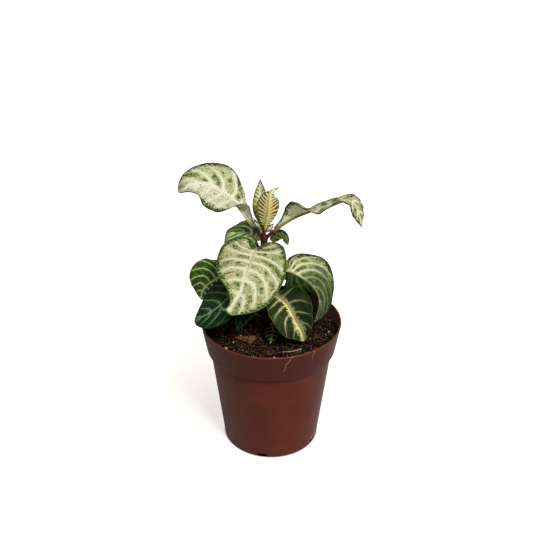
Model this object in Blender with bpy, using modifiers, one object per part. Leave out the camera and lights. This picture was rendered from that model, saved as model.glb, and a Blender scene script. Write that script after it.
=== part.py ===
"""A young zebra plant in a plastic nursery pot, in metres, +Z up.

The origin is the middle of the pot's foot, on the surface that the pot stands on. -Y is the front.
Each leaf is one surface formula: a midrib curve through hand-chosen points, an outline in leaf
lengths, and the tilt of the left and right half at every midrib point.
"""

import math
import random

import bmesh
import bpy
import numpy as np
from mathutils import Matrix, Vector, noise

MM = 0.001
GAP = 0.3 * MM

POT_RIM_RADIUS = 60 * MM
POT_HEIGHT = 116.4 * MM
POT_WALL = 1.5 * MM
BAND_BOTTOM_RADIUS = 55.5 * MM
BAND_BOTTOM_HEIGHT = 90.5 * MM
LEDGE_DROP = 1.4 * MM
BODY_TOP_RADIUS = 52.6 * MM
FOOT_RADIUS = 41.9 * MM
FOOT_RING_WIDTH = 5 * MM
FOOT_RING_HEIGHT = 1.5 * MM
FLOOR_TOP = 3.2 * MM
FOOT_EDGE = 1.0 * MM
POT_SIDES = 56

NOTCH_COUNT = 5
NOTCH_FIRST_ANGLE = -101
NOTCH_WIDTH = 8 * MM
NOTCH_DEPTH = 11 * MM
NOTCH_HEIGHT = 3.5 * MM
NOTCH_CLEARANCE = 3 * MM

SOIL_TOP = 105.5 * MM
SOIL_MOUND = 2.0 * MM
SOIL_LUMP = 1.1 * MM
SOIL_LUMP_SIZE = 9 * MM
SOIL_SIDES = 36
SOIL_RINGS = 9
STEM_HOLE = (-0.3 * MM, 2.7 * MM, 0)
STEM_HOLE_RADIUS = 4.9 * MM
STEM_HOLE_BOTTOM = 78 * MM
STEM_HOLE_TOP = 120 * MM
STEM_HOLE_SIDES = 16

# Bits of perlite and bark: how many, their size and spacing, and the ring of the surface they lie in,
# as parts of its area. None lies where the dry leaf does.
BIT_COUNT = 18
BIT_RADIUS = 1.9 * MM
BIT_SPACING = 6 * MM
BIT_SINK = 0.1 * MM
BIT_RING = (0.12, 0.80)
BIT_SEED = 11
DRY_LEAF_LEFT = -34 * MM
DRY_LEAF_RIGHT = -8 * MM
DRY_LEAF_FRONT = -30 * MM
DRY_LEAF_BACK = -11 * MM

# Stem: x, y, z and radius in millimetres, with a swelling at every pair of leaves.
STEM = [
    (0, 3, 79, 3.9), (0, 3, 103, 4.0), (-1, 2, 109, 3.9), (-2, 1, 114, 4.3), (-2, 1, 121, 3.7),
    (-3, 1, 127, 4.2), (-3, 0, 132, 3.8), (-3, 0, 136, 4.1), (-4, 0, 142, 3.5), (-4, 0, 147, 3.9),
    (-4, 0, 154, 3.2), (-5, 0, 160, 3.3), (-5, 0, 164, 3.6), (-5, 0, 171, 2.9), (-6, 0, 182, 2.7),
    (-6, 0, 189, 2.9), (-6, 0, 193, 3.2), (-6, 0, 196, 2.5), (-6, 0, 198, 1.2),
]

BLADE_THICKNESS = 0.7 * MM
BLADE_ROWS = 14
BLADE_COLUMNS = 4
VEINS_A_SIDE = 7
QUILT = 0.25 * MM
STALK_RADIUS = 1.35
RIB_TIP_RADIUS = 0.5
RIB_END = 0.86
STALK_STEP = 7 * MM

# Half outlines, from the stalk to the tip: part of the blade's length, part of its half width.
# "start" says how far the side veins sweep forward, and "back" how the first one bends. A leaf with
# two outlines has the first on its left half and the second on its right.
OUTLINES = {
    "heart": dict(
        edge=[(-.15, .32), (-.13, .62), (-.01, .90), (.15, 1), (.33, 1.05), (.50, .99), (.66, .80),
              (.81, .46), (.93, .16), (1, 0)],
        start=1.95, back=0.5,
    ),
    "slim_heart": dict(
        edge=[(-.15, .32), (-.13, .62), (-.01, .90), (.12, 1), (.27, .97), (.44, .80), (.60, .53),
              (.74, .27), (.84, .12), (.93, .06), (1, 0)],
        start=1.95, back=0.5,
    ),
    "round": dict(
        edge=[(-.02, .12), (0, .42), (.09, .74), (.24, .95), (.40, 1), (.57, .92), (.74, .68),
              (.88, .35), (.96, .13), (1, 0)],
        start=1.7, back=0.8,
    ),
    "blunt": dict(
        edge=[(-.02, .12), (0, .42), (.09, .74), (.24, .95), (.40, 1), (.57, .95), (.74, .77),
              (.87, .52), (.96, .24), (1, 0)],
        start=1.7, back=0.8,
    ),
    "full": dict(
        edge=[(-.02, .12), (0, .42), (.09, .74), (.24, .93), (.40, 1), (.57, 1), (.74, .90),
              (.87, .66), (.96, .32), (1, 0)],
        start=1.7, back=0.8,
    ),
    "drop": dict(
        edge=[(-.02, .12), (0, .42), (.09, .74), (.24, .95), (.38, 1), (.54, .95), (.71, .76),
              (.86, .44), (.95, .18), (1, 0)],
        start=1.7, back=0.8,
    ),
    "eared": dict(
        edge=[(-.02, .12), (0, .42), (.09, .74), (.22, .95), (.36, 1), (.48, .88), (.56, .70),
              (.66, .62), (.78, .50), (.90, .26), (.96, .10), (1, 0)],
        start=1.7, back=0.8,
    ),
    "square": dict(
        edge=[(-.02, .12), (0, .36), (.09, .58), (.24, .76), (.38, .90), (.50, 1), (.62, .96),
              (.76, .72), (.88, .40), (.96, .16), (1, 0)],
        start=1.7, back=0.8,
    ),
    "deep": dict(
        edge=[(-.02, .12), (0, .42), (.09, .76), (.24, .98), (.38, 1), (.52, .91), (.66, .84),
              (.80, .75), (.90, .52), (.97, .24), (1, 0)],
        start=1.7, back=0.8,
    ),
    "early": dict(
        edge=[(-.02, .12), (0, .42), (.09, .74), (.22, .96), (.34, 1), (.45, .86), (.53, .50),
              (.60, .22), (.72, .12), (.88, .10), (.96, .06), (1, 0)],
        start=1.7, back=0.8,
    ),
    "winged": dict(
        edge=[(0, .06), (.10, .16), (.19, .26), (.27, .40), (.34, .68), (.42, .93), (.51, 1),
              (.62, .94), (.74, .74), (.85, .52), (.94, .32), (.98, .14), (1, 0)],
        start=1.3, back=1,
    ),
    "slow_wing": dict(
        edge=[(0, .06), (.10, .14), (.20, .20), (.30, .27), (.38, .46), (.45, .84), (.53, 1.05),
              (.63, 1.02), (.74, .78), (.85, .52), (.93, .33), (.98, .14), (1, 0)],
        start=1.3, back=1,
    ),
    "short_wing": dict(
        edge=[(0, .06), (.09, .17), (.16, .45), (.22, .80), (.30, .98), (.42, 1), (.60, .90),
              (.76, .68), (.88, .42), (.95, .20), (1, 0)],
        start=1.3, back=1,
    ),
    "lance": dict(
        edge=[(0, .10), (.10, .42), (.26, .80), (.44, 1), (.64, .86), (.81, .48), (.93, .17), (1, 0)],
        start=1.2, back=1,
    ),
}

# Leaves, in millimetres and degrees. "half" is the half width, or that of the left and the right
# half as seen from the stalk. "stalk" is the bare length, "heading" the compass direction at the
# blade's base and at its tip, "curl" how far a half bends down by its margin, and "wave" the
# height, count and phase of the margin's waves. The midrib points are x, y, z, then how far the
# left and the right half tilt up from level there.
GREEN = (0.035, 0.12, 0.03)
DEEP_GREEN = (0.015, 0.07, 0.03)
PALE_GREEN = (0.50, 0.58, 0.30)
MID_GREEN = (0.22, 0.34, 0.14)
YELLOW_GREEN = (0.52, 0.46, 0.13)
LEAVES = {
    "leaf_upper_left": dict(
        outline=("winged", "slow_wing"), half=26, stalk=15, heading=(180, 185), curl=8, wave=(0, 2, 0),
        colour=PALE_GREEN,
        midrib=[(-6, 0, 193, 0, 0), (-13, 1, 203, 60, 60), (-22, 3, 215, 65, 50), (-31, 5, 225, 0, 42),
                (-41, 6, 233, -20, 34), (-52, 5, 238, -24, 30), (-63, 2, 239, -20, 22), (-71, -4, 236, 0, 5)],
    ),
    "leaf_upper_right": dict(
        outline="short_wing", half=17, stalk=13, heading=(0, -35), curl=0, wave=(0.6, 2.2, 0.1),
        colour=PALE_GREEN,
        midrib=[(-6, 0, 193, 0, 0), (1, -1, 201, 40, 60), (9, -2, 208, 45, 80), (18, -3, 214, 30, 85),
                (27, -3, 218, 0, 45), (36, -2, 220, -5, 10), (46, -2, 223, 5, 12), (56, -2, 227, 5, 15),
                (64, -3, 226, 0, 10), (69, -5, 218, 0, 0), (72, -6, 206, 0, 0)],
    ),
    "bud_leaf_front": dict(
        outline="lance", half=10.5, stalk=12, heading=(-90, -90), curl=-20, wave=(0, 2, 0),
        colour=YELLOW_GREEN, small=True,
        midrib=[(-6, -1, 194, 0, 0), (-5, -5, 206, 15, 15), (-3, -8, 220, 25, 25), (-2, -8, 230, 25, 25),
                (0, -5, 236, 20, 20), (6, -1, 238, 0, 0)],
    ),
    "bud_leaf_back": dict(
        outline="lance", half=7, stalk=8, heading=(90, 90), curl=-20, wave=(0, 2, 0),
        colour=YELLOW_GREEN, small=True,
        midrib=[(-6, 1, 194, 0, 0), (-7, 7, 201, 15, 15), (-9, 11, 213, 25, 25), (-9, 11, 226, 25, 25),
                (-9, 7, 242, 10, 10)],
    ),
    "leaf_front_heart": dict(
        outline=("heart", "slim_heart"), half=29, stalk=32, heading=(-97, -112), curl=12, wave=(0.5, 2, 0.1),
        colour=PALE_GREEN,
        midrib=[(-5, 0, 163, 0, 0), (-8, -5, 178, 0, 0), (-11, -9, 189, 22, 6), (-16, -21, 184, 4, 0),
                (-20, -32, 178, -2, 2), (-24, -43, 169, -2, 6), (-32, -50.5, 156.5, 0, 20),
                (-37, -52, 153.5, 0, 70)],
    ),
    "leaf_back_left": dict(
        outline=("round", "eared"), half=20, stalk=26, heading=(165, 180), curl=10,
        wave=(0.8, 2, 0.3), colour=GREEN,
        midrib=[(-5, 0, 163, 0, 0), (-10, 7, 182, -10, 10), (-17, 12, 191, -10, 10),
                (-28, 15, 191, -10, 10), (-37, 15, 187, -10, 10), (-39, 13, 179, 0, 0)],
    ),
    "leaf_back_small": dict(
        outline="round", half=9.5, stalk=26, heading=(45, 10), curl=20, wave=(0, 2, 0),
        colour=GREEN, small=True,
        midrib=[(-5, 0, 165, 0, 0), (1, 8, 184, 0, 0), (8, 14, 192, 0, 0), (13, 15, 190, 0, 0),
                (14, 14, 181, 0, 0)],
    ),
    "leaf_left": dict(
        outline=("round", "square"), half=(20, 22), stalk=30, heading=(200, 215), curl=12,
        wave=(0.5, 2, 0.1),
        colour=GREEN,
        midrib=[(-4, 0, 147, 0, 0), (-20, 2, 159, -75, 0), (-35, 5, 160, -65, 8), (-45, 5, 154, -60, 26),
                (-54, 6, 147, -60, 30), (-59, 8, 138, -50, 25), (-60, 11, 129, 0, 10)],
    ),
    "leaf_left_low": dict(
        outline=("blunt", "full"), half=(20, 25.5), stalk=24, heading=(205, 200), curl=12, wave=(0.5, 2, 0.1),
        colour=DEEP_GREEN,
        midrib=[(-3, 1, 128, 0, 0), (-15, -12, 149, 0, 5), (-26, -23, 156, 0, 10), (-36, -30, 153, 0, 10),
                (-43, -32, 147, 0, 10), (-53, -31, 139, 0, 10), (-63, -27, 131, 0, 5)],
    ),
    "leaf_right_arched": dict(
        outline=("deep", "early"), half=(27.5, 24), stalk=24, heading=(0, -55), curl=10,
        wave=(0.3, 2, 0.1), colour=MID_GREEN,
        midrib=[(-4, 0, 147, 0, 0), (5, 2, 159, 0, 0), (13, 2, 162.5, 22, -80), (22, 1, 159, 30, -84),
                (31, -3, 154, 30, -92), (38, -7, 146.5, 12, -108), (40, -10, 136, 0, -120),
                (36, -9, 118, 0, -120)],
    ),
    "leaf_front_right": dict(
        outline="drop", half=20.5, stalk=15, heading=(-45, -45), curl=12, wave=(0.4, 2, 0.1), colour=GREEN,
        midrib=[(-3, 0, 136, 0, 0), (2, -11, 146, 10, 0), (12, -19, 143, 20, 0), (19, -26, 132, 20, 0),
                (24, -28, 123, 20, 0), (27, -29, 112, 10, 0)],
    ),
    "leaf_back_low_left": dict(
        outline="round", half=19, stalk=22, heading=(115, 115), curl=15, wave=(0.5, 2, 0.1), colour=GREEN,
        midrib=[(-3, 0, 136, 0, 0), (-9, 12, 152, 0, 0), (-16, 24, 153, 0, 0), (-22, 36, 144, 0, 0),
                (-26, 44, 130, 0, 0)],
    ),
    "leaf_back_low_right": dict(
        outline="round", half=15, stalk=28, heading=(40, 45), curl=15, wave=(0.5, 2, 0.1), colour=DEEP_GREEN,
        midrib=[(-3, 1, 128, 0, 0), (8, 11, 149, 0, 0), (20, 22, 153, 0, 0), (29, 33, 147, 0, 0),
                (35, 40, 135, 0, 0)],
    ),
    "leaf_small_left": dict(
        outline="lance", half=7, stalk=20, heading=(-135, -115), curl=15, wave=(0, 2, 0),
        colour=DEEP_GREEN, small=True,
        midrib=[(-2, 1, 113, 0, 0), (-12, -11, 129, 0, 0), (-21, -20, 134, 0, 0), (-26, -26, 128, 0, 0),
                (-29, -28, 122, 0, 0)],
    ),
    "leaf_small_front": dict(
        outline="lance", half=7, stalk=12, heading=(-90, -95), curl=15, wave=(0, 2, 0),
        colour=DEEP_GREEN, small=True,
        midrib=[(-2, 1, 113, 0, 0), (0, -9, 118, 0, 0), (1, -20, 116, 0, 0), (-1, -30, 109.5, 0, 0)],
    ),
}

# The dry leaf on the soil: the ends of its midrib, how far its edges curl up, and its torn outline, as
# part of the length, then the reach to the back and to the front in millimetres.
DRY_LEAF_FROM = (-30.5 * MM, -18 * MM)
DRY_LEAF_TO = (-13 * MM, -18.5 * MM)
DRY_LEAF_OUTLINE = [(0, .8, .9), (.25, 2.6, 2.2), (.5, 3.2, 5), (.7, 3.4, 8), (.85, 3.6, 6.5), (1, 2.8, 2)]
DRY_LEAF_CURL = 1.6 * MM
DRY_LEAF_ABOVE_SOIL = 0.9 * MM
DRY_LEAF_ROWS = 8
DRY_LEAF_COLUMNS = 3


def clear_scene():
    for obj in list(bpy.data.objects):
        bpy.data.objects.remove(obj, do_unlink=True)


def new_collection(name, hidden=False):
    collection = bpy.data.collections.new(name)
    bpy.context.scene.collection.children.link(collection)
    collection.hide_render = hidden
    return collection


def place(name, mesh, collection):
    obj = bpy.data.objects.new(name, mesh)
    collection.objects.link(obj)
    return obj


def hide_helper(obj):
    obj.hide_render = True
    obj.display_type = "WIRE"


def finish(obj, colour, roughness):
    """Smooth shading, and a plain material of the piece's own."""
    material = bpy.data.materials.new(obj.name)
    material.use_nodes = True
    shader = material.node_tree.nodes["Principled BSDF"]
    shader.inputs["Base Color"].default_value = (*colour, 1)
    shader.inputs["Roughness"].default_value = roughness
    obj.data.materials.clear()
    obj.data.materials.append(material)
    obj.data.shade_smooth()


def applied(obj):
    """The object with its modifiers made part of its mesh."""
    graph = bpy.context.evaluated_depsgraph_get()
    mesh = bpy.data.meshes.new_from_object(obj.evaluated_get(graph))
    mesh.name = obj.name
    obj.modifiers.clear()
    old = obj.data
    obj.data = mesh
    if isinstance(old, bpy.types.Mesh):
        bpy.data.meshes.remove(old)
    return obj


def turned(name, profile, sides, collection):
    """A profile of (radius, height) points turned round Z. It runs down the outer side."""
    mesh = bpy.data.meshes.new(name)
    edges = [(i, i + 1) for i in range(len(profile) - 1)]
    mesh.from_pydata([(radius, 0, height) for radius, height in profile], edges, [])
    obj = place(name, mesh, collection)
    screw = obj.modifiers.new("Turn", "SCREW")
    screw.axis = "Z"
    screw.steps = sides
    screw.render_steps = sides
    screw.use_merge_vertices = True
    screw.merge_threshold = 0.00001
    return obj


def tube(name, points, radii, collection, resolution=2):
    """A closed round tube through the points, as a mesh."""
    curve = bpy.data.curves.new(name, "CURVE")
    curve.dimensions = "3D"
    curve.bevel_depth = MM
    curve.bevel_resolution = resolution
    curve.use_fill_caps = True
    line = curve.splines.new("POLY")
    line.points.add(len(points) - 1)
    for point, place_at, radius in zip(line.points, points, radii):
        point.co = (*place_at, 1)
        point.radius = radius / MM
    guide = place(name + "_curve", curve, collection)
    bpy.context.view_layer.update()
    graph = bpy.context.evaluated_depsgraph_get()
    mesh = bpy.data.meshes.new_from_object(guide.evaluated_get(graph))
    matrix = guide.matrix_world.copy()
    bpy.data.objects.remove(guide)
    work = bmesh.new()
    work.from_mesh(mesh)
    bmesh.ops.remove_doubles(work, verts=work.verts, dist=0.00001)
    bmesh.ops.recalc_face_normals(work, faces=work.faces)
    work.to_mesh(mesh)
    work.free()
    obj = place(name, mesh, collection)
    obj.matrix_world = matrix
    return obj


def add_boolean(obj, other, operation):
    step = obj.modifiers.new(other.name, "BOOLEAN")
    step.operation = operation
    step.object = other
    step.solver = "EXACT"


def smooth_curve(points, count):
    """A natural cubic spline through the points, read at equal steps of its length."""
    points = np.array(points, float)
    axes = min(3, points.shape[1])
    knots = np.append(0, np.cumsum(np.sqrt(np.linalg.norm(np.diff(points[:, :axes], axis=0), axis=1))))
    step = np.diff(knots)
    last = len(points) - 1
    left = np.eye(last + 1)
    right = np.zeros_like(points)
    for i in range(1, last):
        left[i, i - 1:i + 2] = step[i - 1], 2 * (step[i - 1] + step[i]), step[i]
        slopes = (points[i + 1] - points[i]) / step[i] - (points[i] - points[i - 1]) / step[i - 1]
        right[i] = 6 * slopes
    bend = np.linalg.solve(left, right)
    at = np.linspace(0, knots[-1], 400)
    i = np.clip(np.searchsorted(knots, at, side="right") - 1, 0, last - 1)
    low = ((knots[i + 1] - at) / step[i])[:, None]
    high = 1 - low
    sag = (low ** 3 - low) * bend[i] + (high ** 3 - high) * bend[i + 1]
    dense = points[i] * low + points[i + 1] * high + sag * (step[i] ** 2 / 6)[:, None]
    length = np.append(0, np.cumsum(np.linalg.norm(np.diff(dense[:, :axes], axis=0), axis=1)))
    wanted = np.linspace(0, length[-1], count)
    return np.stack([np.interp(wanted, length, column) for column in dense.T], axis=1)


def midrib_frame(leaf):
    """The midrib in metres: places, lengths along it, forward, left and up directions, and tilts."""
    line = smooth_curve(leaf["midrib"], 300)
    places = line[:, :3] * MM
    along = np.append(0, np.cumsum(np.linalg.norm(np.diff(places, axis=0), axis=1)))
    forward = np.gradient(places, axis=0)
    forward /= np.linalg.norm(forward, axis=1)[:, None]
    stalk = leaf["stalk"] * MM
    heading = np.radians(np.interp(along, [stalk, along[-1]], leaf["heading"]))
    left = np.stack([-np.sin(heading), np.cos(heading), 0 * heading], axis=1)
    left -= (left * forward).sum(axis=1)[:, None] * forward
    left /= np.linalg.norm(left, axis=1)[:, None]
    up = np.cross(forward, left)
    return places, along, forward, left, up, np.radians(line[:, 3:5])


def blade_places(leaf, rows, columns):
    """Places of a grid whose rows follow the side veins and whose middle column is the midrib."""
    places, along, forward, left, up, tilts = midrib_frame(leaf)
    names = leaf["outline"] if isinstance(leaf["outline"], tuple) else (leaf["outline"],) * 2
    outline = OUTLINES[names[0]]
    half_left, half_right = leaf["half"] if isinstance(leaf["half"], tuple) else (leaf["half"],) * 2
    stalk = leaf["stalk"] * MM
    row = np.linspace(0, 1, rows + 1)[:, None]
    across = np.linspace(-1, 1, 2 * columns + 1)[None]
    out = abs(across)
    edge_left, edge_right = (smooth_curve(OUTLINES[side]["edge"], rows + 1) for side in names)
    edge_along = np.where(across > 0, edge_left[:, :1], edge_right[:, :1])
    edge_out = np.where(across > 0, edge_left[:, 1:], edge_right[:, 1:])
    start = row ** outline["start"]
    sweep = 1.7 - (1.7 - outline["back"]) * np.exp(-row / 0.07)
    part = start + (edge_along - start) * out ** sweep
    half = np.where(across > 0, half_left, half_right) * MM
    reach = edge_out * out * half
    at = stalk + part * (along[-1] - stalk)

    def read(values):
        columns_read = [np.interp(np.clip(at, stalk, along[-1]), along, column) for column in values.T]
        return np.stack(columns_read, axis=-1)

    tilt = read(tilts)
    tilt = np.where(across >= 0, tilt[..., 0], tilt[..., 1])
    bend = (math.radians(leaf["curl"]) + 1e-5) / half
    aside = (np.sin(tilt) - np.sin(tilt - bend * reach)) / bend
    rise = (np.cos(tilt - bend * reach) - np.cos(tilt)) / bend
    height, count, phase = leaf["wave"]
    turn = 2 * math.pi * (count * row + phase + 0.37 * (across > 0))
    quilt = np.cos(2 * math.pi * VEINS_A_SIDE * row) * np.sin(math.pi * out)
    fade = np.minimum(1, 2 * edge_out)
    rise = rise + fade * (height * MM * np.sin(turn) * out ** 2 + QUILT * quilt)
    behind = np.minimum(at - stalk, 0)[..., None]
    spread = read(left) * (np.sign(across) * aside)[..., None]
    return read(places) + read(forward) * behind + spread + read(up) * rise[..., None]


def blade(name, leaf, collection):
    """The blade: a grid moved onto the leaf's surface, then thickened."""
    rows = BLADE_ROWS - 4 if leaf.get("small") else BLADE_ROWS
    columns = BLADE_COLUMNS - 1 if leaf.get("small") else BLADE_COLUMNS
    places = blade_places(leaf, rows, columns)
    work = bmesh.new()
    bmesh.ops.create_grid(work, x_segments=2 * columns, y_segments=rows, size=1)
    for vert in work.verts:
        column = round((vert.co.x + 1) * columns)
        row = round((vert.co.y + 1) / 2 * rows)
        vert.co = places[row, 2 * columns - column]
    bmesh.ops.remove_doubles(work, verts=work.verts, dist=0.00002)
    mesh = bpy.data.meshes.new(name)
    work.to_mesh(mesh)
    work.free()
    obj = place(name, mesh, collection)
    thicken(obj)
    return obj


def thicken(obj):
    """Gives a blade its thickness. It is split into triangles first, alike on both faces."""
    split = obj.modifiers.new("Split", "TRIANGULATE")
    split.quad_method = "FIXED"
    wall = obj.modifiers.new("Thickness", "SOLIDIFY")
    wall.thickness = BLADE_THICKNESS
    wall.offset = 0


def stalk(name, leaf, collection):
    """The leaf stalk, running on as the rib under the blade, a little sunk into it."""
    places, along, _, _, up, _ = midrib_frame(leaf)
    bare = leaf["stalk"] * MM
    end = bare + RIB_END * (along[-1] - bare)
    wanted = np.linspace(0, end, max(6, round(end / STALK_STEP)))
    part = np.clip((wanted - bare) / (along[-1] - bare), 0, 1)
    size = 0.75 if leaf.get("small") else 1
    radius = size * MM * (STALK_RADIUS + (RIB_TIP_RADIUS - STALK_RADIUS) * part ** 0.7)
    at = np.stack([np.interp(wanted, along, column) for column in places.T], axis=1)
    above = np.stack([np.interp(wanted, along, column) for column in up.T], axis=1)
    at = at - above * (BLADE_THICKNESS / 2 + radius / 2)[:, None]
    return tube(name + "_stalk", at.tolist(), radius.tolist(), collection)


def stem_tube(name, extra, collection):
    points = [Vector(point[:3]) * MM for point in STEM]
    radii = [point[3] * MM + extra for point in STEM]
    if extra:
        points[-1] = points[-1] + Vector((0, 0, extra))
    return tube(name, points, radii, collection, resolution=3)


def leaf_piece(name, leaf, parts, cutters, stem_room):
    """Blade and stalk in one, cut clear of the stem."""
    obj = blade(name, leaf, parts)
    rib = stalk(name, leaf, cutters)
    hide_helper(rib)
    add_boolean(obj, rib, "UNION")
    add_boolean(obj, stem_room, "DIFFERENCE")
    finish(obj, leaf["colour"], 0.45)
    return obj


def pot_radius(height):
    """The pot's outer radius at a height."""
    if height > BAND_BOTTOM_HEIGHT:
        part = (height - BAND_BOTTOM_HEIGHT) / (POT_HEIGHT - BAND_BOTTOM_HEIGHT)
        return BAND_BOTTOM_RADIUS + part * (POT_RIM_RADIUS - BAND_BOTTOM_RADIUS)
    part = height / (BAND_BOTTOM_HEIGHT - LEDGE_DROP)
    return FOOT_RADIUS + part * (BODY_TOP_RADIUS - FOOT_RADIUS)


def pot(parts, cutters):
    """The turned pot: flared band, small ledge, tapered body, foot ring, and slots for drainage."""
    lip = POT_WALL / 2
    body_top = BAND_BOTTOM_HEIGHT - LEDGE_DROP
    profile = [
        (POT_RIM_RADIUS - lip, POT_HEIGHT),
        (POT_RIM_RADIUS - 0.3 * lip, POT_HEIGHT - 0.3 * lip),
        (POT_RIM_RADIUS, POT_HEIGHT - lip),
        (BAND_BOTTOM_RADIUS, BAND_BOTTOM_HEIGHT + lip),
        (BAND_BOTTOM_RADIUS - 0.4 * lip, BAND_BOTTOM_HEIGHT),
        (BODY_TOP_RADIUS, body_top),
        (FOOT_RADIUS, FOOT_EDGE),
        (FOOT_RADIUS - FOOT_EDGE, 0),
        (FOOT_RADIUS - FOOT_EDGE - FOOT_RING_WIDTH, 0),
        (FOOT_RADIUS - 2 * FOOT_EDGE - FOOT_RING_WIDTH, FOOT_RING_HEIGHT),
        (0, FOOT_RING_HEIGHT),
    ]
    inside = [
        (0, FLOOR_TOP),
        (pot_radius(FLOOR_TOP) - POT_WALL - FOOT_EDGE, FLOOR_TOP),
        (pot_radius(FLOOR_TOP) - POT_WALL, FLOOR_TOP + FOOT_EDGE),
        (BODY_TOP_RADIUS - POT_WALL, body_top),
        (BAND_BOTTOM_RADIUS - POT_WALL, BAND_BOTTOM_HEIGHT + lip),
        (POT_RIM_RADIUS - POT_WALL, POT_HEIGHT - lip),
        (POT_RIM_RADIUS - 1.7 * lip, POT_HEIGHT - 0.3 * lip),
        (POT_RIM_RADIUS - lip, POT_HEIGHT),
    ]
    obj = turned("pot", profile + inside, POT_SIDES, parts)
    for i in range(NOTCH_COUNT):
        angle = math.radians(NOTCH_FIRST_ANGLE + i * 360 / NOTCH_COUNT)
        depth = NOTCH_DEPTH + NOTCH_CLEARANCE
        work = bmesh.new()
        bmesh.ops.create_cube(work, size=1, matrix=Matrix.Diagonal((depth, NOTCH_WIDTH, NOTCH_HEIGHT * 2, 1)))
        mesh = bpy.data.meshes.new("notch")
        work.to_mesh(mesh)
        work.free()
        cutter = place(f"notch_{i}", mesh, cutters)
        radius = FOOT_RADIUS + NOTCH_CLEARANCE - depth / 2
        cutter.location = (radius * math.cos(angle), radius * math.sin(angle), 0)
        cutter.rotation_euler = (0, 0, angle)
        hide_helper(cutter)
        add_boolean(obj, cutter, "DIFFERENCE")
    finish(obj, (0.115, 0.030, 0.020), 0.5)
    return obj


def soil_height(x, y):
    """The height of the soil's lumpy surface, a low mound round the stem."""
    radius = pot_radius(SOIL_TOP)
    mound = SOIL_MOUND * (1 - (x * x + y * y) / radius ** 2)
    lump = noise.noise(Vector((x, y, 0)) / SOIL_LUMP_SIZE)
    return SOIL_TOP + mound + SOIL_LUMP * lump


def soil(parts, cutters):
    """The peat that fills the pot, with a plain hole for the stem and bits of perlite on top."""
    room = POT_WALL + GAP
    body_top = BAND_BOTTOM_HEIGHT - LEDGE_DROP
    top_radius = pot_radius(SOIL_TOP) - room - 0.2 * MM
    profile = [(top_radius * i / SOIL_RINGS, SOIL_TOP) for i in range(SOIL_RINGS + 1)]
    floor = FLOOR_TOP + GAP
    floor_radius = pot_radius(floor) - room
    profile += [
        (BAND_BOTTOM_RADIUS - room, BAND_BOTTOM_HEIGHT + 2 * GAP),
        (BODY_TOP_RADIUS - room, body_top),
        (floor_radius, floor + FOOT_EDGE),
        (floor_radius - FOOT_EDGE, floor),
        (0, floor),
    ]
    obj = applied(turned("soil", profile, SOIL_SIDES, parts))
    for vert in obj.data.vertices:
        if vert.co.z > SOIL_TOP - MM / 10:
            vert.co.z = soil_height(vert.co.x, vert.co.y)
    join_bits(obj, top_radius)
    outline = [(0, STEM_HOLE_TOP), (STEM_HOLE_RADIUS, STEM_HOLE_TOP), (STEM_HOLE_RADIUS, STEM_HOLE_BOTTOM),
               (0, STEM_HOLE_BOTTOM)]
    hole = turned("stem_hole", outline, STEM_HOLE_SIDES, cutters)
    hole.location = STEM_HOLE
    hide_helper(hole)
    add_boolean(obj, hole, "DIFFERENCE")
    finish(obj, (0.020, 0.011, 0.007), 0.95)
    return obj


def join_bits(obj, top_radius):
    """Bits of perlite and bark, sunk into the soil's top and joined to it."""
    draw = random.Random(BIT_SEED)
    bits = new_collection("bits")
    spots = []
    while len(spots) < BIT_COUNT:
        angle = draw.uniform(0, 2 * math.pi)
        radius = top_radius * math.sqrt(draw.uniform(*BIT_RING))
        spot = Vector((radius * math.cos(angle), radius * math.sin(angle)))
        under_dry_leaf = DRY_LEAF_LEFT < spot.x < DRY_LEAF_RIGHT and DRY_LEAF_FRONT < spot.y < DRY_LEAF_BACK
        if under_dry_leaf or any((spot - other).length < BIT_SPACING for other in spots):
            continue
        spots.append(spot)
    for spot in spots:
        work = bmesh.new()
        bmesh.ops.create_icosphere(work, subdivisions=1, radius=BIT_RADIUS * draw.uniform(0.6, 1.1))
        mesh = bpy.data.meshes.new("bit")
        work.to_mesh(mesh)
        work.free()
        bit = place("bit", mesh, bits)
        bit.location = (spot.x, spot.y, soil_height(spot.x, spot.y) - BIT_SINK)
        bit.rotation_euler = (draw.uniform(0, 3), draw.uniform(0, 3), draw.uniform(0, 3))
        bit.scale = (1, 0.85, 0.75)
    bpy.context.view_layer.update()
    join = obj.modifiers.new("Bits", "BOOLEAN")
    join.operation = "UNION"
    join.operand_type = "COLLECTION"
    join.collection = bits
    join.solver = "EXACT"
    applied(obj)
    for bit in list(bits.objects):
        bpy.data.objects.remove(bit)
    bpy.data.collections.remove(bits)


def stem(parts):
    obj = stem_tube("stem", 0, parts)
    finish(obj, (0.060, 0.012, 0.022), 0.5)
    return obj


def dry_leaf(parts):
    """A fallen dry leaf, curled at its edges, lying on the soil."""
    start = Vector(DRY_LEAF_FROM)
    run = Vector(DRY_LEAF_TO) - start
    side = Vector((-run.y, run.x)).normalized()
    parts_along, reach_back, reach_front = zip(*DRY_LEAF_OUTLINE)
    work = bmesh.new()
    bmesh.ops.create_grid(work, x_segments=2 * DRY_LEAF_COLUMNS, y_segments=DRY_LEAF_ROWS, size=1)
    for vert in work.verts:
        across = vert.co.x
        part = (vert.co.y + 1) / 2
        reach = np.interp(part, parts_along, reach_back if across > 0 else reach_front)
        spot = start + run * part + side * (reach * MM * across)
        curl = DRY_LEAF_CURL * (across ** 2 + (2 * part - 1) ** 2) / 2
        vert.co = (spot.x, spot.y, soil_height(spot.x, spot.y) + DRY_LEAF_ABOVE_SOIL + curl)
    mesh = bpy.data.meshes.new("dry_leaf")
    work.to_mesh(mesh)
    work.free()
    obj = place("dry_leaf", mesh, parts)
    thicken(obj)
    finish(obj, (0.16, 0.055, 0.018), 0.8)
    return obj


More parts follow.
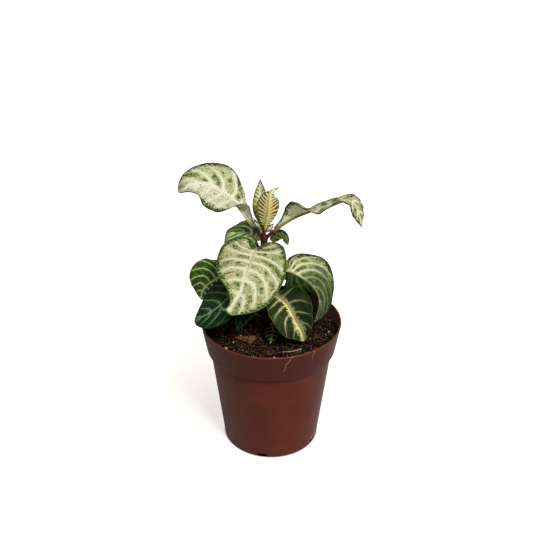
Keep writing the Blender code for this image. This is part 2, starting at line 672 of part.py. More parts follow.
def build():
    clear_scene()
    parts = new_collection("potted_zebra_plant")
    cutters = new_collection("cutters", hidden=True)
    pot(parts, cutters)
    soil(parts, cutters)
    stem(parts)
    stem_room = stem_tube("stem_room", GAP, cutters)
    hide_helper(stem_room)
    for name, leaf in LEAVES.items():
        leaf_piece(name, leaf, parts, cutters, stem_room)
    dry_leaf(parts)


build()
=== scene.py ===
# %% [markdown]
# A young zebra plant in a plastic nursery pot, dressed for its portrait.
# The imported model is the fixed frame: its solids have the right places and sizes, but plain faces.
# This lesson replaces each of them with a finer piece of the same form, and paints all with node
# materials. Everything is in metres, +Z is up, and the plant's front looks along -Y.

import math
import random

import bpy
import numpy as np
from mathutils import Euler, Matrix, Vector, noise


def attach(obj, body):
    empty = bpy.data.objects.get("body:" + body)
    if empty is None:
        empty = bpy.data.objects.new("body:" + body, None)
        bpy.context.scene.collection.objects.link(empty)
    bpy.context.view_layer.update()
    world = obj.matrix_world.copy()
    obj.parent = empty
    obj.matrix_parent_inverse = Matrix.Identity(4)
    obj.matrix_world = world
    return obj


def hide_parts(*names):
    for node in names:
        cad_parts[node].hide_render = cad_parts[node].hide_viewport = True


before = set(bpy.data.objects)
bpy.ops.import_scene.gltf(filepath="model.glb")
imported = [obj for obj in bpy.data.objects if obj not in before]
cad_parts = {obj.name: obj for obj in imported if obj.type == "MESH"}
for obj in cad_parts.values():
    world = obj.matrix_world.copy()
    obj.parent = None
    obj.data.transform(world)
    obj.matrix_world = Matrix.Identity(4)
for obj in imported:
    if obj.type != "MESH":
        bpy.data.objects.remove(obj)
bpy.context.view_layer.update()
MM = 0.001

# %% [markdown]
# A few helpers come first. Blender's operators act on whatever is selected, so one helper selects
# exactly the pieces that are worked on. Another hands a finished piece to the frame: it gives the
# piece its material, hangs it on the root body, and hides the plain solids that it stands for. Moving
# thousands of vertices one by one is slow in Python, so they are read and written as whole NumPy arrays.

# %% Helpers for pieces
def select_only(*pieces):
    """Selects these pieces and nothing else, and makes the first one active."""
    bpy.ops.object.select_all(action="DESELECT")
    for piece in pieces:
        piece.select_set(True)
    bpy.context.view_layer.objects.active = pieces[0]


def apply_modifiers(piece):
    select_only(piece)
    for modifier in list(piece.modifiers):
        bpy.ops.object.modifier_apply(modifier=modifier.name)


def hand_over(piece, slot, material, *replaced):
    """Gives the piece its material, hangs it on the root body, and hides the plain solids it replaces."""
    piece.data.materials.clear()
    piece.data.materials.append(material)
    select_only(piece)
    bpy.ops.object.shade_smooth()
    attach(piece, "root")
    if replaced:
        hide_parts(*replaced)
    triangles = sum(len(face.vertices) - 2 for face in piece.data.polygons)
    print(piece.name, "has", triangles, "triangles")


def vertex_places(piece):
    places = np.empty(len(piece.data.vertices) * 3)
    piece.data.vertices.foreach_get("co", places)
    return places.reshape(-1, 3)


def set_vertex_places(piece, places):
    piece.data.vertices.foreach_set("co", np.asarray(places, float).ravel())
    piece.data.update()


def write_attribute(piece, name, values):
    """Numbers or vectors, one for each vertex, that a material can read by name."""
    values = np.asarray(values, np.float32)
    kind, key = ("FLOAT", "value") if values.ndim == 1 else ("FLOAT_VECTOR", "vector")
    layer = piece.data.attributes.new(name, kind, "POINT")
    layer.data.foreach_set(key, values.ravel())


# %% [markdown]
# Materials are small networks of nodes. Written out in full they are long, so this class adds a
# node and its links in one line. A value may be a number, a colour, or another node's socket, and a
# noise scale is in waves per metre: 200 gives patches of about 5 mm, 1000 a grain of about 1 mm.

# %% Wiring nodes
class Wiring:
    """A node tree with short ways to add to it."""

    def __init__(self, tree):
        self.tree = tree

    def feed(self, socket, value):
        if isinstance(value, bpy.types.NodeSocket):
            self.tree.links.new(value, socket)
        elif value is not None:
            socket.default_value = value

    def add(self, kind, *values, **settings):
        node = self.tree.nodes.new("ShaderNode" + kind)
        for name, value in settings.items():
            setattr(node, name, value)
        for socket, value in zip(node.inputs, values):
            self.feed(socket, value)
        return node

    def math(self, operation, *values):
        return self.add("Math", *values, operation=operation).outputs[0]

    def chain(self, operation, first, *others):
        """One operation done again for each further value, as in a + b + c."""
        for value in others:
            first = self.math(operation, first, value)
        return first

    def plus(self, *values):
        return self.chain("ADD", *values)

    def minus(self, first, second):
        return self.math("SUBTRACT", first, second)

    def times(self, *values):
        return self.chain("MULTIPLY", *values)

    def over(self, first, second):
        return self.math("DIVIDE", first, second)

    def most(self, *values):
        return self.chain("MAXIMUM", *values)

    def step(self, value, low, high, first=0.0, last=1.0):
        """Runs smoothly from first to last as the value goes from low to high."""
        node = self.add("MapRange", interpolation_type="SMOOTHSTEP")
        for socket, given in zip(node.inputs, (value, low, high, first, last)):
            self.feed(socket, given)
        return node.outputs["Result"]

    def ramp(self, value, low, high, first=0.0, last=1.0):
        """The same in a straight line."""
        return self.add("MapRange", value, low, high, first, last).outputs["Result"]

    def mix(self, part, first, second):
        node = self.add("Mix", data_type="RGBA")
        for index, given in ((0, part), (6, first), (7, second)):
            self.feed(node.inputs[index], given)
        return node.outputs[2]

    def noise(self, place, scale, detail=2.0, roughness=0.5):
        node = self.add("TexNoise")
        settings = {"Vector": place, "Scale": scale, "Detail": detail, "Roughness": roughness}
        for name, given in settings.items():
            self.feed(node.inputs[name], given)
        return node.outputs["Fac"]

    def cells(self, place, scale, **settings):
        """Random cells, as of a net or of scattered spots."""
        node = self.add("TexVoronoi", **settings)
        self.feed(node.inputs["Vector"], place)
        self.feed(node.inputs["Scale"], scale)
        return node.outputs

    def vector(self, x, y, z):
        return self.add("CombineXYZ", x, y, z).outputs[0]

    def attribute(self, name, output="Fac"):
        return self.add("Attribute", attribute_name=name).outputs[output]

    def object_place(self):
        return self.add("TexCoord").outputs["Object"]


# %% [markdown]
# Screens and shaders count light in different ways. A colour read off a picture is squeezed, so that
# the eye sees even steps, and has to be turned back into plain light before a shader uses it.

# %% Colours
def colour(red, green, blue):
    """A colour picked as on a screen, from 0 to 255, turned into the light values that shaders use."""
    parts = [value / 255 for value in (red, green, blue)]
    return (*[p / 12.92 if p <= 0.04045 else ((p + 0.055) / 1.055) ** 2.4 for p in parts], 1)


print("middle grey as light:", [round(value, 3) for value in colour(128, 128, 128)])

# %% [markdown]
# What several materials share goes into a node group. A group here puts out only colours and values,
# and the shader stays in the material itself. Relief that is finer than the mesh is a Bump node:
# it tilts the light on the surface and moves nothing.

# %% Groups, materials and relief
def new_group(name, inputs, outputs):
    """An empty node group. Inputs are (name, starting value), outputs are (name, kind)."""
    group = bpy.data.node_groups.new(name, "ShaderNodeTree")
    for title, value in inputs:
        kind = "NodeSocketColor" if isinstance(value, tuple) else "NodeSocketFloat"
        socket = group.interface.new_socket(title, in_out="INPUT", socket_type=kind)
        socket.default_value = value
    for title, kind in outputs:
        group.interface.new_socket(title, in_out="OUTPUT", socket_type="NodeSocket" + kind)
    wiring = Wiring(group)
    start = group.nodes.new("NodeGroupInput")
    end = group.nodes.new("NodeGroupOutput")
    return wiring, start.outputs, end.inputs


def new_material(name, roughness, **constants):
    """A material with its wiring and its shader, whose even values are set on the shader itself."""
    material = bpy.data.materials.new(name)
    material.use_nodes = True
    shader = material.node_tree.nodes["Principled BSDF"]
    shader.inputs["Roughness"].default_value = roughness
    for title, value in constants.items():
        shader.inputs[title.replace("_", " ")].default_value = value
    return material, Wiring(material.node_tree), shader.inputs


def add_bump(wiring, shader, height, strength=1.0):
    """Turns a height in millimetres into small relief."""
    bump = wiring.add("Bump")
    bump.inputs["Strength"].default_value = strength
    bump.inputs["Distance"].default_value = MM
    wiring.feed(bump.inputs["Height"], height)
    wiring.feed(shader["Normal"], bump.outputs["Normal"])


# %% [markdown]
# The picture is taken from a little above, so that the soil shows, with a lens of about 56 mm. A
# camera has to point along its own -Z axis, and tilting it round X by 90 degrees less the downward
# angle does that. The lens was found by matching the pot's rim, foot and height.

# %% Camera
CAMERA_DOWN = math.radians(27.96)
CAMERA_DISTANCE = 0.6863
CAMERA_TARGET = Vector((-0.004, 0, 0.1672))
CAMERA_LENS = 56.0
CAMERA_SENSOR = 36
back = Vector((0, -math.cos(CAMERA_DOWN), math.sin(CAMERA_DOWN)))
bpy.ops.object.camera_add(
    location=CAMERA_TARGET + back * CAMERA_DISTANCE,
    rotation=(math.pi / 2 - CAMERA_DOWN, 0, 0),
)
camera = bpy.context.active_object
camera.data.lens = CAMERA_LENS
camera.data.sensor_width = CAMERA_SENSOR
bpy.context.scene.camera = camera
print("camera at", [round(v, 4) for v in camera.location])

# %% [markdown]
# The studio is white all round, and the world gives weak soft light from every side. In the photo the
# backdrop is brighter than the film can hold. Light Path tells camera rays from the others, so the
# world can look that white without washing out the plant's dark tones.

# %% World
WHITE = (1, 1, 1, 1)
WORLD_STRENGTH = 0.25
world = bpy.data.worlds.new("studio")
world.use_nodes = True
sky = world.node_tree.nodes["Background"]
sky.inputs["Color"].default_value = WHITE
w = Wiring(world.node_tree)
to_camera = w.add("LightPath").outputs["Is Camera Ray"]
w.feed(sky.inputs["Strength"], w.ramp(to_camera, 0, 1, WORLD_STRENGTH, 1))
bpy.context.scene.world = world
bpy.context.scene.view_settings.view_transform = "Standard"
print("world strength:", WORLD_STRENGTH)

# %% [markdown]
# The floor is one large plane of white paper, and glows for the camera in the same way: that glow is
# painted light. It grows further from the pot, so that the light's shadow shows beside the pot and
# fades out further off. Under the pot its tint and glow run out to black, by the distance from the
# pot's axis in metres: painted shade, or the drain slots would shine.

# %% Floor
FLOOR_SIZE = 30
FLOOR_TINT = (0.55, 0.51, 0.48)
FLOOR_GLOW_TINT = (1, 0.95, 0.90, 1)
NEAR_GLOW = 0.72
FAR_GLOW = 0.35
PAINTED_SHADE_UNDER_POT = (0.0412, 0.0422)
NEAR_GLOW_RUNS_IN = (0.0415, 0.0430)
FAR_GLOW_RUNS_IN = (0.06, 0.20)
bpy.ops.object.select_all(action="DESELECT")
bpy.ops.mesh.primitive_plane_add(size=FLOOR_SIZE)
floor = bpy.context.active_object
floor.name = "floor"
paper, w, shader = new_material("white_paper", 0.9, Specular_IOR_Level=0, Emission_Color=FLOOR_GLOW_TINT)
from_middle = w.add("VectorMath", w.object_place(), operation="LENGTH").outputs["Value"]
tint = w.add("VectorMath", FLOOR_TINT, operation="SCALE")
# Painted shade: the floor's tint runs to black under the pot.
w.feed(tint.inputs["Scale"], w.ramp(from_middle, *PAINTED_SHADE_UNDER_POT))
w.feed(shader["Base Color"], tint.outputs["Vector"])
# Painted light: the floor glows for the camera, more further from the pot.
near_glow = w.ramp(from_middle, *NEAR_GLOW_RUNS_IN, 0, NEAR_GLOW)
far_glow = w.ramp(from_middle, *FAR_GLOW_RUNS_IN, 0, FAR_GLOW)
to_camera = w.add("LightPath").outputs["Is Camera Ray"]
w.feed(shader["Emission Strength"], w.times(w.plus(near_glow, far_glow), to_camera))
floor.data.materials.append(paper)
print("floor is", FLOOR_SIZE, "m wide")

# %% [markdown]
# A large area light in front, high and a little to the right, models the forms and lays a faint
# shadow to the left of the pot. A sun would do as well, but the shadow's soft edge needs a light of
# some size, and an area light shows that size.

# %% Light
KEY_PLACE = (0.55, -1.1, 1.55)
KEY_SIZE = 0.5
KEY_WATTS = 30


def soft_light(name, place, size, watts):
    """A square area light that looks at the plant."""
    aim = (CAMERA_TARGET - Vector(place)).to_track_quat("-Z", "Y")
    bpy.ops.object.light_add(type="AREA", location=place, rotation=aim.to_euler())
    light = bpy.context.active_object
    light.name = name
    light.data.size = size
    light.data.energy = watts


soft_light("key_light", KEY_PLACE, KEY_SIZE, KEY_WATTS)

# %% [markdown]
# One effect is used all over the object. "Mottle" mixes three close tones in soft patches and fine
# grain, because nothing that grows or lies in soil has one even colour. It also puts out its noise
# as a height, so that a material's relief agrees with its colour.

# %% The shared mottle group
w, given, result = new_group(
    "Mottle",
    [
        ("Light", (1, 1, 1, 1)), ("Middle", (0.5, 0.5, 0.5, 1)), ("Dark", (0, 0, 0, 1)),
        ("Scale", 100.0), ("Fine", 600.0),
    ],
    [("Color", "Color"), ("Height", "Float")],
)
place = w.object_place()
broad = w.noise(place, given["Scale"], 3)
fine = w.noise(place, given["Fine"], 3, 0.6)
body = w.mix(w.step(broad, 0.35, 0.65), given["Dark"], given["Middle"])
w.feed(result["Color"], w.mix(w.step(fine, 0.42, 0.75), body, given["Light"]))
w.feed(result["Height"], w.plus(broad, fine))
MOTTLE = w.tree
print("mottle has", len(MOTTLE.nodes), "nodes")


def mottle(wiring, light, middle, dark, scale, fine):
    node = wiring.add("Group")
    node.node_tree = MOTTLE
    for socket, value in zip(node.inputs, (light, middle, dark, scale, fine)):
        wiring.feed(socket, value)
    return node.outputs["Color"], node.outputs["Height"]


# %% [markdown]
# The pot is injection-moulded plastic about 1.5 mm thick: a flared band at the top, a small ledge
# under it, a tapered body, and a foot ring with five drain slots. It could be a cylinder scaled
# ring by ring, but a lathe is simpler: the profile is drawn once, one corner extruded to the next,
# and spun round Z. The lip and the ledge get a few extra corners here, so that light rolls over them.

# %% The lathe
SHELL_MERGE = 0.01 * MM


def draw_profile(name, profile):
    """A line of (radius, height) corners, each extruded from the last."""
    bpy.ops.object.select_all(action="DESELECT")
    bpy.ops.mesh.primitive_plane_add(size=MM)
    piece = bpy.context.active_object
    piece.name = name
    bpy.ops.object.mode_set(mode="EDIT")
    bpy.ops.mesh.merge(type="CENTER")
    bpy.ops.transform.translate(value=(profile[0][0], 0, profile[0][1]))
    for (radius, height), (next_radius, next_height) in zip(profile, profile[1:]):
        move = (next_radius - radius, 0, next_height - height)
        bpy.ops.mesh.extrude_region_move(TRANSFORM_OT_translate={"value": move})
    bpy.ops.object.mode_set(mode="OBJECT")
    return piece


def spin_round(piece, steps):
    """Spins the line round Z into a closed shell with its faces outwards."""
    select_only(piece)
    bpy.ops.object.mode_set(mode="EDIT")
    bpy.ops.mesh.select_all(action="SELECT")
    bpy.ops.mesh.spin(steps=steps, angle=2 * math.pi, center=(0, 0, 0), axis=(0, 0, 1))
    bpy.ops.mesh.select_all(action="SELECT")
    bpy.ops.mesh.remove_doubles(threshold=SHELL_MERGE)
    bpy.ops.mesh.normals_make_consistent(inside=False)
    bpy.ops.object.mode_set(mode="OBJECT")


# %% [markdown]
# The profile runs from the rim down the outside, under the foot and up the inside, so that the spun
# shell is closed. Its corners are in millimetres here and the rounded ones are short arcs.

# %% The pot's profile
POT_RIM_RADIUS = 60 * MM
POT_HEIGHT = 116.4 * MM
POT_WALL = 1.5 * MM
BAND_BOTTOM_RADIUS = 55.5 * MM
BAND_BOTTOM_HEIGHT = 90.5 * MM
BODY_TOP_RADIUS = 52.6 * MM
BODY_TOP_HEIGHT = 89.1 * MM
FOOT_RADIUS = 41.9 * MM
FLOOR_TOP = 3.2 * MM
POT_STEPS = 192
OUTSIDE_HEIGHTS = (86, 78, 66, 54, 42, 30, 18, 8, 2.5)
BAND_HEIGHTS = (113.6, 113.0, 108, 102, 96)
UNDERNEATH = [(36.2, 0), (35.6, 0.3), (35, 1.5), (20, 1.5), (0, 1.5)]


def pot_radius(height):
    """The pot's outer radius at a height."""
    if height > BAND_BOTTOM_HEIGHT:
        part = (height - BAND_BOTTOM_HEIGHT) / (POT_HEIGHT - BAND_BOTTOM_HEIGHT)
        return BAND_BOTTOM_RADIUS + part * (POT_RIM_RADIUS - BAND_BOTTOM_RADIUS)
    return FOOT_RADIUS + height / BODY_TOP_HEIGHT * (BODY_TOP_RADIUS - FOOT_RADIUS)


def arc(centre, radius, start, end, count):
    """Corners on part of a circle, by angles in degrees."""
    angles = np.radians(np.linspace(start, end, count))
    return [(centre[0] + radius * math.cos(a), centre[1] + radius * math.sin(a)) for a in angles]


lip = POT_WALL / 2
lip_middle = (POT_RIM_RADIUS - lip, POT_HEIGHT - lip)
band_corner = (BAND_BOTTOM_RADIUS - 0.5 * MM, BAND_BOTTOM_HEIGHT + 0.5 * MM)
ledge_corner = (BODY_TOP_RADIUS + 0.8 * MM, BODY_TOP_HEIGHT + 0.2 * MM)
outside = arc(lip_middle, lip, 90, 0, 7)
outside += [(pot_radius(h * MM), h * MM) for h in BAND_HEIGHTS]
outside += arc(band_corner, 0.5 * MM, -5, -80, 5)
outside += arc(ledge_corner, 0.8 * MM, 110, 180, 5)
outside += [(pot_radius(h * MM) - 0.05 * MM, h * MM) for h in OUTSIDE_HEIGHTS]
outside += arc((FOOT_RADIUS - 1 * MM, 1 * MM), 1 * MM, 0, -90, 5)
underneath = [(radius * MM, height * MM) for radius, height in UNDERNEATH]
inside = [(0, FLOOR_TOP), (pot_radius(FLOOR_TOP) - POT_WALL - 1 * MM, FLOOR_TOP)]
inside += [(pot_radius(4.2 * MM) - POT_WALL, 4.2 * MM), (BODY_TOP_RADIUS - POT_WALL, BODY_TOP_HEIGHT)]
inside += [(BAND_BOTTOM_RADIUS - POT_WALL, BAND_BOTTOM_HEIGHT + lip)]
inside += arc(lip_middle, lip, 180, 90, 7)

pot = draw_profile("nursery_pot", outside + underneath + inside)
spin_round(pot, POT_STEPS)
print("pot profile has", len(outside + underneath + inside), "corners")

# %% [markdown]
# Five drain slots are cut where the wall meets the floor. One box is placed at each slot, the boxes
# are joined, and a Boolean takes them away in one go. Their edges are rounded first, as a mould's are.

# %% Drain slots
SLOT_COUNT = 5
SLOT_FIRST_ANGLE = -101
SLOT_SIZE = (14 * MM, 8 * MM, 7 * MM)
SLOT_ROUNDING = 0.7 * MM
cutters = []
for i in range(SLOT_COUNT):
    angle = math.radians(SLOT_FIRST_ANGLE + i * 360 / SLOT_COUNT)
    radius = FOOT_RADIUS + 3 * MM - SLOT_SIZE[0] / 2
    spot = (radius * math.cos(angle), radius * math.sin(angle), 0)
    turn = (0, 0, angle)
    bpy.ops.mesh.primitive_cube_add(size=1, location=spot, rotation=turn, scale=SLOT_SIZE)
    cutters.append(bpy.context.active_object)
select_only(*cutters)
bpy.ops.object.join()
cutter = bpy.context.active_object
bpy.ops.object.transform_apply(location=True, rotation=True, scale=True)
soften = cutter.modifiers.new("Round", "BEVEL")
soften.width = SLOT_ROUNDING
soften.segments = 3
apply_modifiers(cutter)
cut = pot.modifiers.new("Slots", "BOOLEAN")
cut.operation = "DIFFERENCE"
cut.object = cutter
cut.solver = "EXACT"
apply_modifiers(pot)
bpy.data.objects.remove(cutter)
print("slots cut:", SLOT_COUNT)

# %% [markdown]
# The plastic is terracotta-brown with a satin skin. Real pots show soft clouds in the colour, faint
# upright streaks from the mould, water marks and a little pale dust low down. All of that is noise
# on Object coordinates: stretched along Z for the streaks, and masked by height for the dust. The
# band is darker. A pale line on its lip is a painted highlight, and a dark line in the ledge under it
# is painted shade.

# %% Pot material
POT_BROWN = colour(98, 41, 26)
POT_RED = colour(105, 43, 27)
POT_SHADE = colour(91, 38, 25)
POT_BAND = colour(72, 28, 15)
POT_DUST = colour(136, 92, 74)
POT_LIP_HIGHLIGHT = colour(158, 88, 62)
POT_LEDGE_SHADE = colour(40, 18, 14)
STREAK_SCALE = 260
WATER_MARK_SCALE = 70
PLASTIC_GRAIN_SCALE = 1700
pot_plastic, w, shader = new_material(
    "pot_plastic", 0.5, Specular_IOR_Level=0.18, Sheen_Weight=0.12, Sheen_Roughness=0.35
)
place = w.object_place()
clouds, _ = mottle(w, POT_RED, POT_BROWN, POT_SHADE, 16, 60)
stretch = w.add("Mapping", place)
stretch.inputs["Scale"].default_value = (1, 1, 0.06)
streaks = w.noise(stretch.outputs[0], STREAK_SCALE, 3)
grain = w.noise(place, PLASTIC_GRAIN_SCALE, 3, 0.6)
height = w.add("SeparateXYZ", place).outputs["Z"]
low_down = w.step(height, 30 * MM, 0)
marks = w.step(w.noise(place, WATER_MARK_SCALE, 4, 0.65), 0.56, 0.76)
dust = w.times(marks, w.plus(0.06, w.times(low_down, 0.2)))
tinted = w.mix(w.step(streaks, 0.5, 0.8, 0, 0.25), clouds, POT_SHADE)
on_band = w.step(height, BAND_BOTTOM_HEIGHT - 1 * MM, BAND_BOTTOM_HEIGHT + 1 * MM, 0, 0.75)
tinted = w.mix(on_band, tinted, POT_BAND)
# A pale line on the lip: a painted highlight.
tinted = w.mix(w.step(height, 115.2 * MM, 115.9 * MM, 0, 0.3), tinted, POT_LIP_HIGHLIGHT)
# A dark line in the ledge under the band: painted shade.
painted_ledge_shade = w.times(w.step(height, 87.4 * MM, 89.3 * MM), w.step(height, 91 * MM, 90.3 * MM), 0.6)
tinted = w.mix(painted_ledge_shade, tinted, POT_LEDGE_SHADE)
w.feed(shader["Base Color"], w.mix(dust, tinted, POT_DUST))
w.feed(shader["Roughness"], w.plus(w.step(streaks, 0.3, 0.7, 0.38, 0.48), w.times(dust, 0.5)))
relief = w.plus(w.times(streaks, 0.05), w.times(grain, 0.025))
add_bump(w, shader, relief, 0.6)
hand_over(pot, "pot", pot_plastic, "pot")

# %% [markdown]
# The soil fills the pot to about a centimetre under the rim. It is a spun disc whose top is pushed up
# and down by layered noise: one wide layer for its lumps, which is the same as in the plain solid,
# and finer ones for clods. The stem simply stands in it.

# %% Soil surface
SOIL_TOP = 105.5 * MM
SOIL_MOUND = 2.0 * MM
SOIL_LUMP = 1.1 * MM
SOIL_LUMP_SIZE = 9 * MM
SOIL_STEPS = 300
SOIL_RINGS = 84
SOIL_RADIUS = pot_radius(SOIL_TOP) - POT_WALL - 0.4 * MM
SOIL_FLOOR = [(40.5, 4.5), (39.5, 3.5), (0, 3.5)]
CLODS = [(1.0 * MM, 3.6 * MM), (0.8 * MM, 1.8 * MM), (0.4 * MM, 0.9 * MM)]


def soil_height(x, y):
    """The height of the soil's lumpy surface, a low mound round the stem."""
    mound = SOIL_MOUND * (1 - (x * x + y * y) / pot_radius(SOIL_TOP) ** 2)
    return SOIL_TOP + mound + SOIL_LUMP * noise.noise(Vector((x, y, 0)) / SOIL_LUMP_SIZE)


def clod_height(x, y):
    """The same with its clods."""
    high = soil_height(x, y)
    for lift, size in CLODS:
        high += lift * noise.noise(Vector((x, y, lift * 1000)) / size)
    return high


profile = [(SOIL_RADIUS * i / SOIL_RINGS, SOIL_TOP) for i in range(SOIL_RINGS + 1)]
profile += [(SOIL_RADIUS - 1 * MM, SOIL_TOP - 4 * MM), (BODY_TOP_RADIUS - 1.9 * MM, BODY_TOP_HEIGHT)]
profile += [(radius * MM, height * MM) for radius, height in SOIL_FLOOR]
soil = draw_profile("peat_soil", profile)
spin_round(soil, SOIL_STEPS)
places = vertex_places(soil)
for spot in places:
    if spot[2] > SOIL_TOP - MM / 10:
        spot[2] = clod_height(spot[0], spot[1])
set_vertex_places(soil, places)
print("soil top from", round(SOIL_TOP, 4), "to", round(places[:, 2].max(), 4))

# %% [markdown]
# Peat is nearly black when moist, with brown crumbs and straw-coloured specks. The material mixes
# these tones at three sizes. It has almost no gloss.

# %% Soil material
SOIL_BLACK = colour(5, 4, 3)
SOIL_BROWN = colour(15, 9, 6)
SOIL_TAN = colour(84, 52, 32)
SOIL_STRAW = colour(150, 122, 92)
SOIL_CLUMP_SCALE = 210
SOIL_SPECK_SCALE = 1100


def soil_material(name, brown, tan):
    """Peaty tones round two colours. A piece's "shade" attribute lifts some bits to the tan."""
    material, w, shader = new_material(name, 0.9, Specular_IOR_Level=0.1)
    place = w.object_place()
    tones, rough = mottle(w, tan, brown, SOIL_BLACK, 420, 1500)
    clumps = w.step(w.noise(place, SOIL_CLUMP_SCALE, 2), 0.42, 0.58, 0.85, 0.0)
    tones = w.mix(clumps, tones, SOIL_BLACK)
    specks = w.step(w.noise(place, SOIL_SPECK_SCALE, 1), 0.66, 0.70)
    by_crumb = w.mix(w.step(w.attribute("shade"), 0.78, 1.0, 0.0, 0.9), tones, tan)
    w.feed(shader["Base Color"], w.mix(specks, by_crumb, SOIL_STRAW))
    add_bump(w, shader, w.times(rough, 0.35))
    return material


hand_over(soil, "soil", soil_material("moist_peat", SOIL_BROWN, SOIL_TAN), "soil")

# %% [markdown]
# Loose crumbs break up the surface. A handful of lumps is modelled once as low spheres pulled out of
# shape, and then copied by the thousand with their own size, turn and tone. Copying in NumPy is
# quicker here than duplicating objects, and makes one mesh. Each crumb has only 20 faces.

# %% Scattering
def lump(faces_round, draw):
    """A small sphere pulled out of shape, as its corners and faces."""
    bpy.ops.object.select_all(action="DESELECT")
    bpy.ops.mesh.primitive_ico_sphere_add(subdivisions=faces_round, radius=1)
    ball = bpy.context.active_object
    corners = vertex_places(ball)
    faces = np.array([face.vertices[:] for face in ball.data.polygons])
    bpy.data.objects.remove(ball)
    pull = np.array([draw.uniform(0.72, 1.25) for _ in corners])
    return corners * pull[:, None], faces


def random_turn(draw):
    """A random rotation as a 3 by 3 matrix."""
    spin, _ = np.linalg.qr(np.array([[draw.gauss(0, 1) for _ in range(3)] for _ in range(3)]))
    return spin * np.sign(np.linalg.det(spin))


def level_turn(draw):
    """A random turn about Z with a slight tilt."""
    angles = (draw.gauss(0, 0.5), draw.gauss(0, 0.14), draw.uniform(0, math.pi))
    return np.array(Euler(angles).to_matrix())


def scatter(name, shapes, spots, draw, turn=random_turn):
    """One mesh of lumps. A spot is (x, y, z, three sizes, tone)."""
    corners, faces, tones = [], [], []
    count = 0
    for x, y, z, sizes, tone in spots:
        shape, sides = draw.choice(shapes)
        corners.append((shape * sizes) @ turn(draw).T + (x, y, z))
        faces.append(sides + count)
        tones += [tone] * len(shape)
        count += len(shape)
    mesh = bpy.data.meshes.new(name)
    mesh.from_pydata(np.concatenate(corners).tolist(), [], np.concatenate(faces).tolist())
    piece = bpy.data.objects.new(name, mesh)
    bpy.context.scene.collection.objects.link(piece)
    write_attribute(piece, "shade", tones)
    return piece


# %% [markdown]
# Bits are strewn evenly over a disc. The square root of the random number is needed for that, since
# a ring further out has more room than one near the middle.

# %% A random spot on the soil
STEM_FOOT_Y = 3 * MM
STEM_ROOM = 6 * MM


def on_soil(draw, edge):
    """A random spot on the soil, clear of the stem. The edge is the part of its radius in use."""
    while True:
        angle = draw.uniform(0, 2 * math.pi)
        radius = SOIL_RADIUS * edge * math.sqrt(draw.random())
        x, y = radius * math.cos(angle), radius * math.sin(angle)
        if math.hypot(x, y - STEM_FOOT_Y) > STEM_ROOM:
            return x, y


# %% [markdown]
# Three kinds of litter are strewn the same way: dark crumbs, most of them tiny and a few large, flat
# bits of bark, and thin pale shreds that lie level. Only their sizes, turns and tones differ.

# %% Crumbs, bark and shreds
CRUMB_COUNT = 5200
BARK_COUNT = 200
SHRED_COUNT = 620
CRUMB_SHAPE = np.array([1, 0.85, 0.7])
BARK_SHAPE = np.array([1, 0.42, 0.28])
draw = random.Random(7)
low_lumps = [lump(1, draw) for _ in range(6)]
fine_lumps = [lump(2, draw) for _ in range(5)]


def crumb_size():
    return MM * (0.3 + 1.6 * draw.random() ** 2.4) * CRUMB_SHAPE


def bark_size():
    return MM * draw.uniform(0.6, 1.5) * BARK_SHAPE


def shred_size():
    length = MM * draw.uniform(0.9, 3.2)
    width = MM * draw.uniform(0.13, 0.24)
    return np.array([length, width, width * 0.7])


def strew(name, count, edge, draw_size, lift, turn=random_turn):
    """Bits strewn over the soil. From a bit's length, lift gives its height above the clods."""
    spots = []
    for _ in range(count):
        x, y = on_soil(draw, edge)
        size = draw_size()
        spots.append((x, y, clod_height(x, y) + lift(size[0]), size, draw.random()))
    return scatter(name, low_lumps, spots, draw, turn)


crumbs = strew("peat_crumbs", CRUMB_COUNT, 0.985, crumb_size, lambda size: 0.35 * size)
hand_over(crumbs, "soil", soil_material("peat_crumb", SOIL_BROWN, SOIL_TAN))
bark = strew("bark_bits", BARK_COUNT, 0.97, bark_size, lambda size: 0.3 * size)
hand_over(bark, "soil", soil_material("bark", colour(84, 56, 40), colour(128, 92, 64)))
shreds = strew("fibre_shreds", SHRED_COUNT, 0.96, shred_size, lambda size: 0.45 * MM, level_turn)
hand_over(shreds, "soil", soil_material("fibre_shred", colour(86, 58, 40), colour(164, 124, 92)))

# %% [markdown]
# Perlite is the white popcorn-like grit in potting soil. Its larger bits lie where the plain solid
# has them, and a few are put where they catch the eye at the front rim. The rest are smaller.

# %% Perlite
PERLITE_COUNT = 34
PERLITE_AT_RIM = [
    (-37.6, -30.5, 1.4), (-31.8, -23.4, 1.1), (-26, -13, 0.9), (2.1, -45, 1.2), (12.7, -43, 1.0),
    (15.9, -45, 1.0), (-14.5, -43.5, 0.8), (-16.5, -41, 0.7),
]
BIT_SEED = 11
BIT_COUNT = 18
BIT_SPACING = 6 * MM
BIT_SIZE = 1.35 * MM
BITS_FROM_RIM = 0.5 * MM
DRY_LEAF_X = (-34 * MM, -8 * MM)
DRY_LEAF_Y = (-30 * MM, -11 * MM)
GRIT_SHAPE = np.array([1, 0.8, 0.75])
FINE_GRIT_SHAPE = np.array([1, 0.9, 0.8])


def solid_bits():
    """The places of the bits that the plain solid has, found by the same draws."""
    draw = random.Random(BIT_SEED)
    top_radius = pot_radius(SOIL_TOP) - POT_WALL - BITS_FROM_RIM
    found = []
    while len(found) < BIT_COUNT:
        angle = draw.uniform(0, 2 * math.pi)
        radius = top_radius * math.sqrt(draw.uniform(0.12, 0.80))
        spot = Vector((radius * math.cos(angle), radius * math.sin(angle)))
        beside_leaf = not (DRY_LEAF_X[0] < spot.x < DRY_LEAF_X[1] and DRY_LEAF_Y[0] < spot.y < DRY_LEAF_Y[1])
        if beside_leaf and all((spot - other).length >= BIT_SPACING for other in found):
            found.append(spot)
    return found


